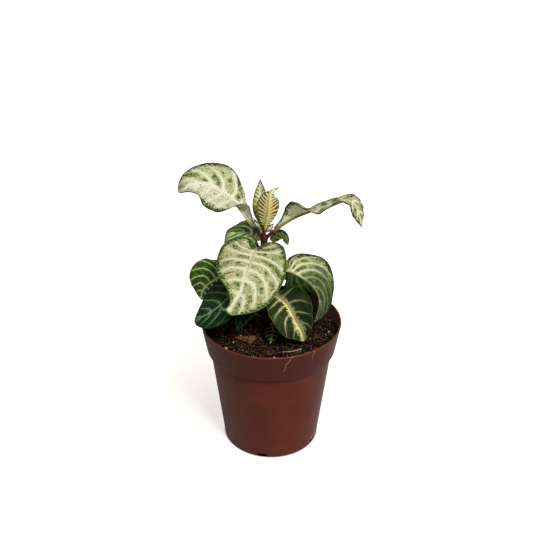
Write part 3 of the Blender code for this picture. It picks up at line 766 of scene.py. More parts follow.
spots = []
for spot in solid_bits():
    size = BIT_SIZE * draw.uniform(0.75, 1.1)
    tone = 0.6 * draw.random()
    high = soil_height(*spot) + 0.35 * size
    spots.append((spot.x, spot.y, high, size * GRIT_SHAPE, tone))
for x, y, size in PERLITE_AT_RIM:
    x, y, size = x * MM, y * MM, size * MM
    spots.append((x, y, soil_height(x, y) + 0.6 * size, size * GRIT_SHAPE, 1.0))
for _ in range(PERLITE_COUNT):
    x, y = on_soil(draw, 0.97)
    size = MM * draw.uniform(0.35, 0.8)
    spots.append((x, y, clod_height(x, y) + 0.4 * size, size * FINE_GRIT_SHAPE, draw.random()))
perlite = scatter("perlite", fine_lumps, spots, draw)
grit, w, shader = new_material("perlite_grit", 0.85)
tones, rough = mottle(w, colour(232, 226, 214), colour(196, 186, 170), colour(128, 112, 94), 700, 2200)
dirt = w.step(w.attribute("shade"), 0.2, 0.75, 0.85, 0)
w.feed(shader["Base Color"], w.mix(dirt, tones, colour(84, 62, 44)))
add_bump(w, shader, w.times(rough, 0.25))
hand_over(perlite, "soil", grit)

# %% [markdown]
# Roots lie across the soil with one pale straw, and two root hairs hang over the rim at the front. A
# curve with a round bevel is the natural tool for anything long and thin. Many lines can share one
# curve, which is then converted to a mesh.

# %% Tubes from curves
TUBE_MERGE = 0.005 * MM


def tubes(name, paths, resolution):
    """Round tubes along paths of (x, y, z, radius) points, as one mesh."""
    bpy.ops.object.select_all(action="DESELECT")
    curve = bpy.data.curves.new(name, "CURVE")
    curve.dimensions = "3D"
    curve.bevel_depth = MM
    curve.bevel_resolution = resolution
    curve.use_fill_caps = True
    for path in paths:
        line = curve.splines.new("POLY")
        line.points.add(len(path) - 1)
        for point, (x, y, z, radius) in zip(line.points, path):
            point.co = (x, y, z, 1)
            point.radius = radius / MM
    piece = bpy.data.objects.new(name, curve)
    bpy.context.scene.collection.objects.link(piece)
    select_only(piece)
    bpy.ops.object.convert(target="MESH")
    piece = bpy.context.active_object
    bpy.ops.object.mode_set(mode="EDIT")
    bpy.ops.mesh.select_all(action="SELECT")
    bpy.ops.mesh.remove_doubles(threshold=TUBE_MERGE)
    bpy.ops.mesh.normals_make_consistent(inside=False)
    bpy.ops.object.mode_set(mode="OBJECT")
    return piece


# %% [markdown]
# Each root starts at a random spot and turns a little at every step, like a slow worm. It arches up
# between its ends, and turns back where it would meet the pot's wall.

# %% Roots in the soil
FIBRE_COUNT = 170
ROOT_POINTS = 9
ROOT_ARCH = 0.9 * MM
ROOT_DIP = 0.4 * MM
ROOT_LIMIT = SOIL_RADIUS * 0.97


def wandering(draw, x, y, length, radius):
    """A thin line that wanders over the soil from a spot, and dips into it at its ends."""
    heading = draw.uniform(0, 2 * math.pi)
    step = length / (ROOT_POINTS - 1)
    path = []
    for i in range(ROOT_POINTS):
        part = i / (ROOT_POINTS - 1)
        lift = radius + ROOT_ARCH * math.sin(math.pi * part) - ROOT_DIP
        path.append((x, y, clod_height(x, y) + lift, radius * (1 - 0.5 * part)))
        heading += draw.uniform(-0.45, 0.45)
        if math.hypot(x + step * math.cos(heading), y + step * math.sin(heading)) > ROOT_LIMIT:
            heading += math.pi / 2
        x += step * math.cos(heading)
        y += step * math.sin(heading)
    return path


draw = random.Random(21)
paths = []
for _ in range(FIBRE_COUNT):
    x, y = on_soil(draw, 0.93)
    paths.append(wandering(draw, x, y, MM * draw.uniform(4, 17), MM * draw.uniform(0.11, 0.27)))
fibres = tubes("root_fibres", paths, 0)
fibre_look, w, shader = new_material("root_fibre", 0.8)
tones, rough = mottle(w, colour(176, 142, 106), colour(120, 88, 62), colour(70, 46, 34), 60, 900)
w.feed(shader["Base Color"], tones)
add_bump(w, shader, w.times(rough, 0.1))
hand_over(fibres, "soil", fibre_look)

# %% [markdown]
# The straw is a short path over the soil. A hair climbs the wall inside, crosses the rim, and hangs
# down outside, sliding a little sideways and getting thinner. Radius and height give its path, and
# an angle round the pot its place, which is why it keeps to the wall as the pot tapers.

# %% The straw and the two hairs over the rim
STRAW = [(6, -38, 0.6), (12, -38.5, 1.4), (18, -37, 1.6), (23, -35, 1.2), (28, -31, 0.4)]
STRAW_RADIUS = 0.42 * MM
CLIMB = [(52, 107), (56, 110), (57.8, 114), (59.2, 117.0), (60.4, 116.2)]
HAIR_RADIUS = 0.26 * MM
HAIR_THINNING = 0.12 * MM
HAIR_POINTS = 14
HAIR_OFF_WALL = 0.3 * MM


def straw_path():
    for x, y, lift in STRAW:
        yield x * MM, y * MM, soil_height(x * MM, y * MM) + lift * MM, STRAW_RADIUS


def over_the_rim(start, slide, drop):
    """A hair that starts at an angle, slides by degrees and hangs down by a drop in millimetres."""
    path = []
    angle, slide = math.radians(start), math.radians(slide)
    for i, (radius, height) in enumerate(CLIMB):
        turn = angle + slide * i * 0.08
        path.append((radius * math.cos(turn) * MM, radius * math.sin(turn) * MM, height * MM, HAIR_RADIUS))
    for i in range(1, HAIR_POINTS + 1):
        part = i / HAIR_POINTS
        height = CLIMB[-1][1] * MM - drop * MM * part
        turn = angle + slide * (0.4 + 0.6 * part) + 0.01 * math.sin(9 * part)
        radius = pot_radius(height) + HAIR_OFF_WALL
        thin = HAIR_RADIUS - HAIR_THINNING * part
        path.append((radius * math.cos(turn), radius * math.sin(turn), height, thin))
    return path


strands = [list(straw_path()), over_the_rim(-71, -10, 15), over_the_rim(-55, -1, 9)]
hairs = tubes("hairs_over_rim", strands, 1)
hair_look, w, shader = new_material("pale_root", 0.7)
tones, _ = mottle(w, colour(214, 170, 140), colour(190, 138, 108), colour(160, 108, 84), 90, 900)
w.feed(shader["Base Color"], tones)
hand_over(hairs, "soil", hair_look)

# %% [markdown]
# The leaves hang on smooth lines through a few chosen points. Blender's own curves would do for one
# line, but here the tilts of the two halves have to run along with the places. So the spline is
# worked out in NumPy, in which a point may have any number of values.

# %% Smooth lines
SPLINE_STEPS = 400


def smooth_curve(points, count):
    """A natural cubic spline through the points, read at equal steps of its length."""
    points = np.array(points, float)
    axes = min(3, points.shape[1])
    knots = np.append(0, np.cumsum(np.sqrt(np.linalg.norm(np.diff(points[:, :axes], axis=0), axis=1))))
    step = np.diff(knots)
    last = len(points) - 1
    left = np.eye(last + 1)
    right = np.zeros_like(points)
    for i in range(1, last):
        left[i, i - 1:i + 2] = step[i - 1], 2 * (step[i - 1] + step[i]), step[i]
        right[i] = 6 * ((points[i + 1] - points[i]) / step[i] - (points[i] - points[i - 1]) / step[i - 1])
    bend = np.linalg.solve(left, right)
    at = np.linspace(0, knots[-1], SPLINE_STEPS)
    i = np.clip(np.searchsorted(knots, at, side="right") - 1, 0, last - 1)
    low = ((knots[i + 1] - at) / step[i])[:, None]
    high = 1 - low
    sag = (low ** 3 - low) * bend[i] + (high ** 3 - high) * bend[i + 1]
    dense = points[i] * low + points[i + 1] * high + sag * (step[i] ** 2 / 6)[:, None]
    length = np.append(0, np.cumsum(np.linalg.norm(np.diff(dense[:, :axes], axis=0), axis=1)))
    wanted = np.linspace(0, length[-1], count)
    return np.stack([np.interp(wanted, length, column) for column in dense.T], axis=1)


print("half way on a smooth bend:", smooth_curve([(0, 0, 0), (1, 1, 0), (2, 0, 0)], 3)[1].round(3))

# %% [markdown]
# The stem is one upright shoot, thicker where a pair of leaves leaves it. It is drawn as a tube
# through the same points as the solid, given as x, y, z and radius in millimetres. The corners there
# are averaged away along the line, and a little noise on the surface keeps it from looking turned.

# %% Stem
STEM = [
    (0, 3, 79, 3.9), (0, 3, 103, 4.0), (-1, 2, 109, 3.9), (-2, 1, 114, 4.3), (-2, 1, 121, 3.7),
    (-3, 1, 127, 4.2), (-3, 0, 132, 3.8), (-3, 0, 136, 4.1), (-4, 0, 142, 3.5), (-4, 0, 147, 3.9),
    (-4, 0, 154, 3.2), (-5, 0, 160, 3.3), (-5, 0, 164, 3.6), (-5, 0, 171, 2.9), (-6, 0, 182, 2.7),
    (-6, 0, 189, 2.9), (-6, 0, 193, 3.2), (-6, 0, 196, 2.5), (-6, 0, 198, 1.2),
]
STEM_RINGS = 150
STEM_ROUGHNESS = 0.16 * MM
STEM_BUMP_SIZE = 2.5 * MM
wanted = np.linspace(0, len(STEM) - 1, STEM_RINGS)
columns = np.array(STEM, float).T
line = np.stack([np.interp(wanted, range(len(STEM)), column) for column in columns], 1)
line[2:-2] = (line[:-4] + line[1:-3] + line[2:-2] + line[3:-1] + line[4:]) / 5
stem = tubes("stem_shoot", [(line * MM).tolist()], 6)
places = vertex_places(stem)
axis = np.stack([np.interp(places[:, 2], line[:, 2] * MM, line[:, i] * MM) for i in (0, 1)], 1)
outward = places[:, :2] - axis
outward /= np.maximum(np.linalg.norm(outward, axis=1), 1e-6)[:, None]
bumps = np.array([noise.noise(Vector(spot) / STEM_BUMP_SIZE) for spot in places])
places[:, :2] += outward * (bumps * STEM_ROUGHNESS)[:, None]
set_vertex_places(stem, places)
print("stem is", round(places[:, 2].max() - places[:, 2].min(), 3), "m long")

# %% [markdown]
# Its skin is dark purple with fine lines along it, which are noise stretched along Z. Lower down it is
# painted darker and browner, as shade under the leaves.

# %% Stem material
STEM_LINE_SCALE = 1100
stem_skin, w, shader = new_material("stem_skin", 0.42)
place = w.object_place()
stretch = w.add("Mapping", place)
stretch.inputs["Scale"].default_value = (1, 1, 0.25)
tones, rough = mottle(w, colour(58, 20, 27), colour(33, 9, 16), colour(18, 5, 10), 120, 900)
fine_lines = w.noise(stretch.outputs[0], STEM_LINE_SCALE, 2)
# Painted shade: darker and browner from 150 mm down to 115 mm.
lower = w.step(w.add("SeparateXYZ", place).outputs["Z"], 150 * MM, 115 * MM, 0, 0.75)
shaded_low = w.mix(lower, tones, colour(24, 18, 12))
w.feed(shader["Base Color"], w.mix(w.step(fine_lines, 0.55, 0.8, 0, 0.3), shaded_low, colour(80, 44, 40)))
add_bump(w, shader, w.plus(w.times(fine_lines, 0.12), w.times(rough, 0.05)))
hand_over(stem, "stem", stem_skin, "stem")

# %% [markdown]
# Now the leaves, the heart of this object. A real leaf is a thin quilted blade: a midrib, side veins
# that sweep towards the margin, and soft pillows of tissue between them. A flat grid could be bent by
# hand for each leaf, but the veins would then need drawing by hand as well. Here each leaf is a grid
# whose rows are made to follow the side veins and whose middle column is the midrib. Every leaf has
# a midrib curve through chosen points, an outline, and the tilt of its two halves along the way. The
# same kinds of tables shaped the plain solids, so the fine leaves lie where those are.

# %% [markdown]
# An outline gives points from the stalk to the tip: part of the blade's length, part of its half
# width. "start" says how far the side veins start ahead of their ends, "sweep" how late they bend
# forward, and "back" how the first one bends. Leaves of one family share these three.

# %% Outlines
HEART_VEINS = dict(start=1.95, back=0.5, sweep=4.5)
ROUND_VEINS = dict(start=1.7, back=0.8, sweep=2.6)
WING_VEINS = dict(start=1.3, back=1, sweep=1.9)
LANCE_VEINS = dict(start=1.2, back=1, sweep=1.6)
OUTLINES = {
    "heart": dict(
        HEART_VEINS,
        edge=[(-.15, .32), (-.13, .62), (-.01, .90), (.15, 1), (.33, 1.05), (.50, .99), (.66, .80),
              (.81, .46), (.93, .16), (1, 0)],
    ),
    "slim_heart": dict(
        HEART_VEINS,
        edge=[(-.15, .32), (-.13, .62), (-.01, .90), (.12, 1), (.27, .97), (.44, .80), (.60, .53),
              (.72, .27), (.80, .12), (.88, .075), (.95, .05), (1, 0)],
    ),
    "round": dict(
        ROUND_VEINS,
        edge=[(-.02, .12), (0, .42), (.09, .74), (.24, .95), (.40, 1), (.57, .92), (.74, .68),
              (.88, .35), (.96, .13), (1, 0)],
    ),
    "blunt": dict(
        ROUND_VEINS,
        edge=[(-.02, .12), (0, .42), (.09, .74), (.24, .95), (.40, 1), (.57, .95), (.74, .77),
              (.87, .52), (.96, .24), (1, 0)],
    ),
    "drop": dict(
        ROUND_VEINS,
        edge=[(-.02, .12), (0, .42), (.09, .74), (.24, .95), (.38, 1), (.54, .95), (.71, .76),
              (.86, .44), (.95, .18), (1, 0)],
    ),
    "full": dict(
        ROUND_VEINS,
        edge=[(-.02, .12), (0, .42), (.09, .74), (.24, .93), (.40, 1), (.57, 1), (.74, .90),
              (.87, .66), (.96, .32), (1, 0)],
    ),
    "eared": dict(
        ROUND_VEINS,
        edge=[(-.02, .12), (0, .42), (.09, .74), (.22, .95), (.36, 1), (.48, .88), (.56, .70),
              (.66, .62), (.78, .50), (.90, .26), (.96, .10), (1, 0)],
    ),
    "square": dict(
        ROUND_VEINS,
        edge=[(-.02, .12), (0, .36), (.09, .58), (.24, .76), (.38, .90), (.50, 1), (.62, .96),
              (.76, .72), (.88, .40), (.96, .16), (1, 0)],
    ),
    "deep": dict(
        ROUND_VEINS,
        edge=[(-.02, .12), (0, .42), (.09, .76), (.24, .98), (.38, 1), (.52, .91), (.66, .84),
              (.80, .75), (.90, .52), (.97, .24), (1, 0)],
    ),
    "early": dict(
        ROUND_VEINS,
        edge=[(-.02, .12), (0, .42), (.09, .74), (.22, .96), (.34, 1), (.45, .86), (.53, .50),
              (.60, .22), (.72, .12), (.88, .10), (.96, .06), (1, 0)],
    ),
    "winged": dict(
        WING_VEINS,
        edge=[(0, .06), (.10, .16), (.19, .26), (.27, .44), (.34, .76), (.42, .94), (.51, .94),
              (.62, .93), (.74, .80), (.85, .59), (.93, .36), (.98, .17), (1, 0)],
    ),
    "slow_wing": dict(
        WING_VEINS,
        edge=[(0, .06), (.10, .14), (.20, .20), (.30, .27), (.38, .46), (.45, .84), (.53, 1.05),
              (.63, .98), (.74, .78), (.85, .55), (.93, .36), (.98, .17), (1, 0)],
    ),
    "short_wing": dict(
        WING_VEINS,
        edge=[(0, .06), (.09, .17), (.16, .45), (.22, .80), (.30, .98), (.42, 1), (.60, .90),
              (.76, .68), (.88, .42), (.95, .20), (1, 0)],
    ),
    "hooked_lance": dict(
        LANCE_VEINS,
        edge=[(0, .10), (.10, .42), (.26, .80), (.42, 1), (.58, .96), (.70, .72), (.79, .34), (.87, .13),
              (.94, .08), (1, 0)],
    ),
    "lance": dict(
        LANCE_VEINS,
        edge=[(0, .10), (.10, .42), (.26, .80), (.44, 1), (.64, .86), (.81, .48), (.93, .17), (1, 0)],
    ),
}
print("outlines:", len(OUTLINES))

# %% [markdown]
# Each leaf's shape, in millimetres and degrees. "half" is the half width, or that of the left and the
# right half as seen from the stalk. "stalk" is the bare length, "heading" the compass direction at
# the blade's base and tip, "curl" how far a half bends down by its margin, and "wave" the height,
# count and phase of the margin's waves. "veins" counts the side veins on each side, and "quilt" is
# the height of the pillows between them. "start" and "sweep" may differ from the outline's. A
# midrib point is x, y, z, and then how far the left and the right half tilt up there.

# %% Leaf shapes
LEAVES = {
    "leaf_upper_left": dict(
        outline=("winged", "slow_wing"), half=26, stalk=15, heading=(180, 185), curl=8, wave=(0.5, 2.6, 0.35),
        veins=9, quilt=0.6, start=1.45,
        midrib=[(-6, 0, 193, 0, 0), (-13, 1, 203, 60, 60), (-22, 3, 215, 65, 50), (-31, 5, 225, 0, 42),
                (-41, 6, 233, -20, 34), (-52, 5, 238, -24, 30), (-63, 2, 239, -20, 22), (-72, -5, 235, 0, 0)],
    ),
    "leaf_upper_right": dict(
        outline="short_wing", half=17, stalk=13, heading=(0, -35), curl=0, wave=(0.9, 2.2, 0.1),
        veins=10, quilt=0.5, start=1.0, ripple=1.3,
        midrib=[(-6, 0, 193, 0, 0), (1, -1, 201, 40, 60), (9, -2, 208, 51, 86), (18, -3, 214, 36, 80),
                (27, -3, 218, -9, 28), (36, -2, 220.5, -9, 4), (46, -2, 223, 4, 9), (56, -2, 227, 3, 15),
                (64, -3, 226, 0, 10), (69, -5, 218, 0, 0), (72, -6, 206, 0, 0)],
    ),
    "bud_leaf_front": dict(
        outline="hooked_lance", half=10.5, stalk=12, heading=(-90, -90), curl=-20, wave=(0, 2, 0), small=True,
        veins=15, quilt=0.12,
        midrib=[(-6, -1, 194, 0, 0), (-5, -5, 206, 15, 15), (-3, -8, 220, 25, 25), (-2, -8, 230, 25, 25),
                (0, -5, 236, 20, 20), (6, -1, 238, 0, 0)],
    ),
    "bud_leaf_back": dict(
        outline="lance", half=7.5, stalk=8, heading=(90, 90), curl=-20, wave=(0, 2, 0), small=True,
        veins=13, quilt=0.12,
        midrib=[(-6, 1, 194, 0, 0), (-7, 7, 201, 15, 15), (-9, 11, 213, 25, 25), (-9, 11, 226, 25, 25),
                (-9, 7, 242, 10, 10)],
    ),
    "leaf_front_heart": dict(
        outline=("heart", "slim_heart"), half=29, stalk=32, heading=(-97, -112), curl=12, wave=(0.5, 2, 0.1),
        veins=8, quilt=0.42, sweep=(3.2, 4.5), pull=(0.8, 1),
        midrib=[(-5, 0, 163, 0, 0), (-8, -5, 178, 0, 0), (-11, -9, 189, 22, 6), (-16, -21, 184, 4, 0),
                (-20, -32, 178, -2, 2), (-24, -43, 169, -2, 6), (-30.5, -49.5, 159.5, 0, 10),
                (-35, -52, 156.5, 0, 0), (-39.5, -52, 158.5, 0, 0)],
    ),
    "leaf_back_left": dict(
        outline=("round", "eared"), half=20, stalk=26, heading=(165, 180), curl=10,
        wave=(0.8, 2, 0.3),
        veins=6, quilt=0.2, start=2.0, sweep=1.9,
        midrib=[(-5, 0, 163, 0, 0), (-10, 7, 182, -10, 10), (-17, 12, 191, -10, 10),
                (-28, 15, 191, -10, 10), (-37, 15, 187, -10, 10), (-39, 13, 179, 0, 0)],
    ),
    "leaf_back_small": dict(
        outline="round", half=9.4, stalk=24, heading=(25, -32), curl=20, wave=(0, 2, 0), small=True,
        midrib=[(-5, 0, 165, 0, 0), (0.5, 8, 185.5, 0, 0), (5.2, 12, 191.3, 0, 0), (9.8, 13.5, 190.7, 0, 0),
                (12.8, 13.5, 186.5, 0, 0), (13.8, 13, 180.5, 0, 0)],
    ),
    "leaf_left": dict(
        outline=("round", "square"), half=(20, 22), stalk=30, heading=(200, 215), curl=12,
        wave=(0.5, 2, 0.1),
        veins=11, quilt=0.45,
        midrib=[(-4, 0, 147, 0, 0), (-20, 2, 159, -75, 0), (-35, 5, 160, -65, 8), (-45, 5, 154, -60, 26),
                (-54, 6, 147, -60, 30), (-59, 8, 138, -50, 25), (-60, 11, 129, 0, 10)],
    ),
    "leaf_left_low": dict(
        outline=("blunt", "full"), half=(20, 25.5), stalk=24, heading=(205, 200), curl=12, wave=(0.5, 2, 0.1),
        veins=9, quilt=0.5,
        midrib=[(-3, 1, 128, 0, 0), (-15, -12, 149, 0, 5), (-26, -23, 156, 0, 10), (-36, -30, 153, 0, 10),
                (-43, -32, 147, 0, 10), (-53, -31, 139, 0, 10), (-63, -27, 131, 0, 5)],
    ),
    "leaf_right_arched": dict(
        outline=("deep", "early"), half=(27.5, 24), stalk=24, heading=(0, -55), curl=10,
        wave=(0.3, 2, 0.1),
        veins=8, quilt=0.4, start=2.3, sweep=2.0,
        midrib=[(-4, 0, 147, 0, 0), (5, 2, 159, 0, 0), (13, 2, 162.5, 22, -80), (22, 1, 159, 30, -84),
                (31, -3, 154, 30, -92), (38, -7, 146.5, 12, -108), (40, -10, 136, 0, -120),
                (36, -9, 118, 0, -120)],
    ),
    "leaf_front_right": dict(
        outline="drop", half=20.5, stalk=15, heading=(-45, -45), curl=12, wave=(0.4, 2, 0.1),
        veins=7, quilt=0.5,
        midrib=[(-3, 0, 136, 0, 0), (2, -11, 146, 10, 0), (12, -19, 143, 20, 0), (19, -26, 132, 20, 0),
                (24, -28, 123, 20, 0), (27, -29, 112, 10, 0)],
    ),
    "leaf_back_low_left": dict(
        outline="round", half=19, stalk=22, heading=(115, 115), curl=15, wave=(0.5, 2, 0.1),
        midrib=[(-3, 0, 136, 0, 0), (-9, 12, 152, 0, 0), (-16, 24, 153, 0, 0), (-22, 36, 144, 0, 0),
                (-26, 44, 130, 0, 0)],
    ),
    "leaf_back_low_right": dict(
        outline="round", half=15, stalk=28, heading=(40, 45), curl=15, wave=(0.5, 2, 0.1),
        midrib=[(-3, 1, 128, 0, 0), (8, 11, 149, 0, 0), (20, 22, 153, 0, 0), (29, 33, 147, 0, 0),
                (35, 40, 135, 0, 0)],
    ),
    "leaf_small_left": dict(
        outline="lance", half=7, stalk=20, heading=(-135, -115), curl=15, wave=(0, 2, 0), small=True,
        midrib=[(-2, 1, 113, 0, 0), (-12, -11, 129, 0, 0), (-21, -20, 134, 0, 0), (-26, -26, 128, 0, 0),
                (-29, -28, 122, 0, 0)],
    ),
    "leaf_small_front": dict(
        outline="lance", half=7, stalk=12, heading=(-90, -95), curl=15, wave=(0, 2, 0), small=True,
        midrib=[(-2, 1, 113, 0, 0), (0, -9, 118, 0, 0), (1, -20, 116, 0, 0), (-1, -30, 109.5, 0, 0)],
    ),
}
print("leaves:", len(LEAVES))

# %% [markdown]
# The surface stands on two lines. The midrib is a smooth line in space with three directions at every
# point: forward, left and up. The margin is the outline read once for each row.

# %% Midribs and margins
MIDRIB_POINTS = 300
EDGE_POINTS = 200


def midrib_frame(leaf):
    """The midrib in metres: places, lengths along it, forward, left and up directions, and tilts."""
    line = smooth_curve(leaf["midrib"], MIDRIB_POINTS)
    places = line[:, :3] * MM
    along = np.append(0, np.cumsum(np.linalg.norm(np.diff(places, axis=0), axis=1)))
    forward = np.gradient(places, axis=0)
    forward /= np.linalg.norm(forward, axis=1)[:, None]
    heading = np.radians(np.interp(along, [leaf["stalk"] * MM, along[-1]], leaf["heading"]))
    left = np.stack([-np.sin(heading), np.cos(heading), 0 * heading], axis=1)
    left -= (left * forward).sum(axis=1)[:, None] * forward
    left /= np.linalg.norm(left, axis=1)[:, None]
    return places, along, forward, left, np.cross(forward, left), np.radians(line[:, 3:5])


def edge_points(side, rows, pull):
    """The margin's points, one for each row. A pull under 1 draws the veins' ends towards the tip."""
    dense = smooth_curve(OUTLINES[side]["edge"], EDGE_POINTS)
    wanted = np.linspace(0, 1, rows + 1) ** pull
    have = np.linspace(0, 1, EDGE_POINTS)
    return np.stack([np.interp(wanted, have, column) for column in dense.T], axis=1)


def pair(value):
    """A value for each half, left and right, from one for both or from two."""
    return value if isinstance(value, tuple) else (value, value)


midrib = midrib_frame(LEAVES["leaf_front_heart"])
print("the heart-shaped leaf's midrib is", round(midrib[1][-1], 4), "m long")

# %% [markdown]
# The surface formula in words: go along the midrib, then out along a side vein until the margin, and
# lift by the tilt, the curl, the margin's waves and the quilting. The quilting dips to a sharp groove
# on each vein and swells between two. A half of the blade bends like a piece of a tube: the sines
# and cosines say how far aside and how high a point lies on it.

# %% Blade places
USUAL_VEINS = 7
ROWS_BETWEEN_VEINS = 10
SMALL_ROWS_BETWEEN_VEINS = 6
BLADE_COLUMNS = 24
BLADE_THICKNESS = 0.55 * MM
USUAL_QUILT = 0.36
RIB_GROOVE = 0.35 * MM
RIB_GROOVE_WIDTH = 1.1 * MM
MARGIN_RIPPLE = 0.35
MARGIN_RIPPLE_SIZE = 4 * MM
BASE_ROWS = 0.07
HALVES_OUT_OF_STEP = 0.37
LEAST_BEND = 1e-5


def blade_places(leaf, rows, columns):
    """Places of a grid whose rows follow the side veins and whose middle column is the midrib."""
    places, along, forward, left, up, tilts = midrib_frame(leaf)
    names = pair(leaf["outline"])
    outline = OUTLINES[names[0]]
    stalk = leaf["stalk"] * MM
    row = np.linspace(0, 1, rows + 1)[:, None]
    across = np.linspace(-1, 1, 2 * columns + 1)[None]
    out = abs(across)
    pulls = leaf.get("pull", (1, 1))
    edge_left, edge_right = (edge_points(side, rows, pull) for side, pull in zip(names, pulls))
    edge_along = np.where(across > 0, edge_left[:, :1], edge_right[:, :1])
    edge_out = np.where(across > 0, edge_left[:, 1:], edge_right[:, 1:])
    start = row ** leaf.get("start", outline["start"])
    late = np.where(across > 0, *pair(leaf.get("sweep", outline["sweep"])))
    sweep = late - (late - outline["back"]) * np.exp(-row / BASE_ROWS)
    part = start + (edge_along - start) * out ** sweep
    half = np.where(across > 0, *pair(leaf["half"])) * MM
    reach = edge_out * out * half
    at = stalk + part * (along[-1] - stalk)

    def read(values):
        columns_read = [np.interp(np.clip(at, stalk, along[-1]), along, column) for column in values.T]
        return np.stack(columns_read, axis=-1)

    tilt = read(tilts)
    tilt = np.where(across >= 0, tilt[..., 0], tilt[..., 1])
    bend = (math.radians(leaf["curl"]) + LEAST_BEND) / half
    aside = (np.sin(tilt) - np.sin(tilt - bend * reach)) / bend
    rise = (np.cos(tilt - bend * reach) - np.cos(tilt)) / bend
    height, count, phase = leaf["wave"]
    turn = 2 * math.pi * (count * row + phase + HALVES_OUT_OF_STEP * (across > 0))
    from_vein = abs(2 * ((leaf.get("veins", USUAL_VEINS) * row) % 1) - 1)
    quilt = leaf.get("quilt", USUAL_QUILT) * MM * (2 * from_vein ** 0.7 - 1)
    quilt = quilt * np.sin(math.pi * out) ** 0.8
    groove = RIB_GROOVE * np.exp(-(reach / RIB_GROOVE_WIDTH) ** 2)
    fade = np.minimum(1, 2 * edge_out)
    rise = rise + fade * (height * MM * np.sin(turn) * out ** 2 + quilt - groove)
    behind = np.minimum(at - stalk, 0)[..., None]
    spread = read(left) * (np.sign(across) * aside)[..., None]
    surface = read(places) + read(forward) * behind + spread
    spots = surface.reshape(-1, 3)
    ripple = np.array([noise.noise(Vector(spot) / MARGIN_RIPPLE_SIZE) for spot in spots])
    high = leaf.get("ripple", MARGIN_RIPPLE) * MM
    rise = rise + high * fade * out ** 3 * ripple.reshape(rise.shape)
    return surface + read(up) * rise[..., None]


# %% [markdown]
# The paint has to know where it is on a leaf, also where the leaf curls. So three distances are
# measured on the finished surface, in millimetres: to the midrib, to the margin, and how far apart
# the rows are. Near the stalk the blade's base counts as margin too.

# %% Blade measures
def blade_measures(places):
    """For each grid point, in millimetres: distance to the midrib, to the margin, and row spacing."""
    middle = places.shape[1] // 2
    steps = np.linalg.norm(np.diff(places, axis=1), axis=2)
    travelled = np.concatenate([np.zeros((len(steps), 1)), np.cumsum(steps, axis=1)], axis=1)
    to_rib = abs(travelled - travelled[:, middle:middle + 1])
    whole = np.where(np.arange(places.shape[1]) < middle, to_rib[:, :1], to_rib[:, -1:])
    by_row = np.gradient(places, axis=0) * (len(places) - 1)
    vein_way = np.gradient(places, axis=1)
    vein_way /= np.maximum(np.linalg.norm(vein_way, axis=2), 1e-9)[..., None]
    spacing = np.linalg.norm(np.cross(by_row, vein_way), axis=2)
    from_base = np.linspace(0, 1, len(places))[:, None] * spacing + 1 * MM * (to_rib < 2 * MM)
    to_margin = np.minimum(whole - to_rib, from_base)
    return np.stack([to_rib, to_margin, spacing], axis=-1) / MM


test_places = blade_places(LEAVES["leaf_front_heart"], 20, 6)
print("places of a coarse blade:", test_places.shape, "measures:", blade_measures(test_places).shape)

# %% [markdown]
# A grid primitive is the start: its vertices are moved onto the formula's places, its tip is merged
# to a point, and a Solidify modifier gives it thickness. The grid brings a UV map with it, so a
# material can tell where it is on the leaf however the leaf curls: U runs across, V from base to tip.

# %% Blades
TIP_MERGE = 0.02 * MM


def leaf_blade(name, leaf):
    """The blade alone. A small leaf gets a coarser grid."""
    small = leaf.get("small")
    rows = leaf.get("veins", USUAL_VEINS) * (SMALL_ROWS_BETWEEN_VEINS if small else ROWS_BETWEEN_VEINS)
    columns = BLADE_COLUMNS // 2 if small else BLADE_COLUMNS
    bpy.ops.object.select_all(action="DESELECT")
    bpy.ops.mesh.primitive_grid_add(x_subdivisions=2 * columns, y_subdivisions=rows, size=2)
    piece = bpy.context.active_object
    piece.name = name
    flat = vertex_places(piece)
    column = 2 * columns - np.rint((flat[:, 0] + 1) * columns).astype(int)
    row = np.rint((flat[:, 1] + 1) / 2 * rows).astype(int)
    places = blade_places(leaf, rows, columns)
    set_vertex_places(piece, places[row, column])
    write_attribute(piece, "leaf", blade_measures(places)[row, column])
    bpy.ops.object.mode_set(mode="EDIT")
    bpy.ops.mesh.select_all(action="SELECT")
    bpy.ops.mesh.remove_doubles(threshold=TIP_MERGE)
    bpy.ops.object.mode_set(mode="OBJECT")
    top_count = len(piece.data.vertices)
    wall = piece.modifiers.new("Thickness", "SOLIDIFY")
    wall.thickness = BLADE_THICKNESS
    wall.offset = 0
    apply_modifiers(piece)
    count = len(piece.data.vertices)
    write_attribute(piece, "under", (np.arange(count) >= top_count).astype(float))
    write_attribute(piece, "rib", np.zeros(count))
    return piece


# %% [markdown]
# The stalk and the rib under the blade are one tapering tube, joined to the blade. Where a leaf is
# folded along its midrib, the rib lies inside the fold.

# %% Stalks, and a whole leaf
STALK_RADIUS = 1.35 * MM
STALK_FLARE = 0.55 * MM
STALK_FLARE_LENGTH = 3.5 * MM
SMALL_STALK = 0.75
STALK_POINTS = 60
RIB_TIP_RADIUS = 0.22 * MM
RIB_END = 0.97


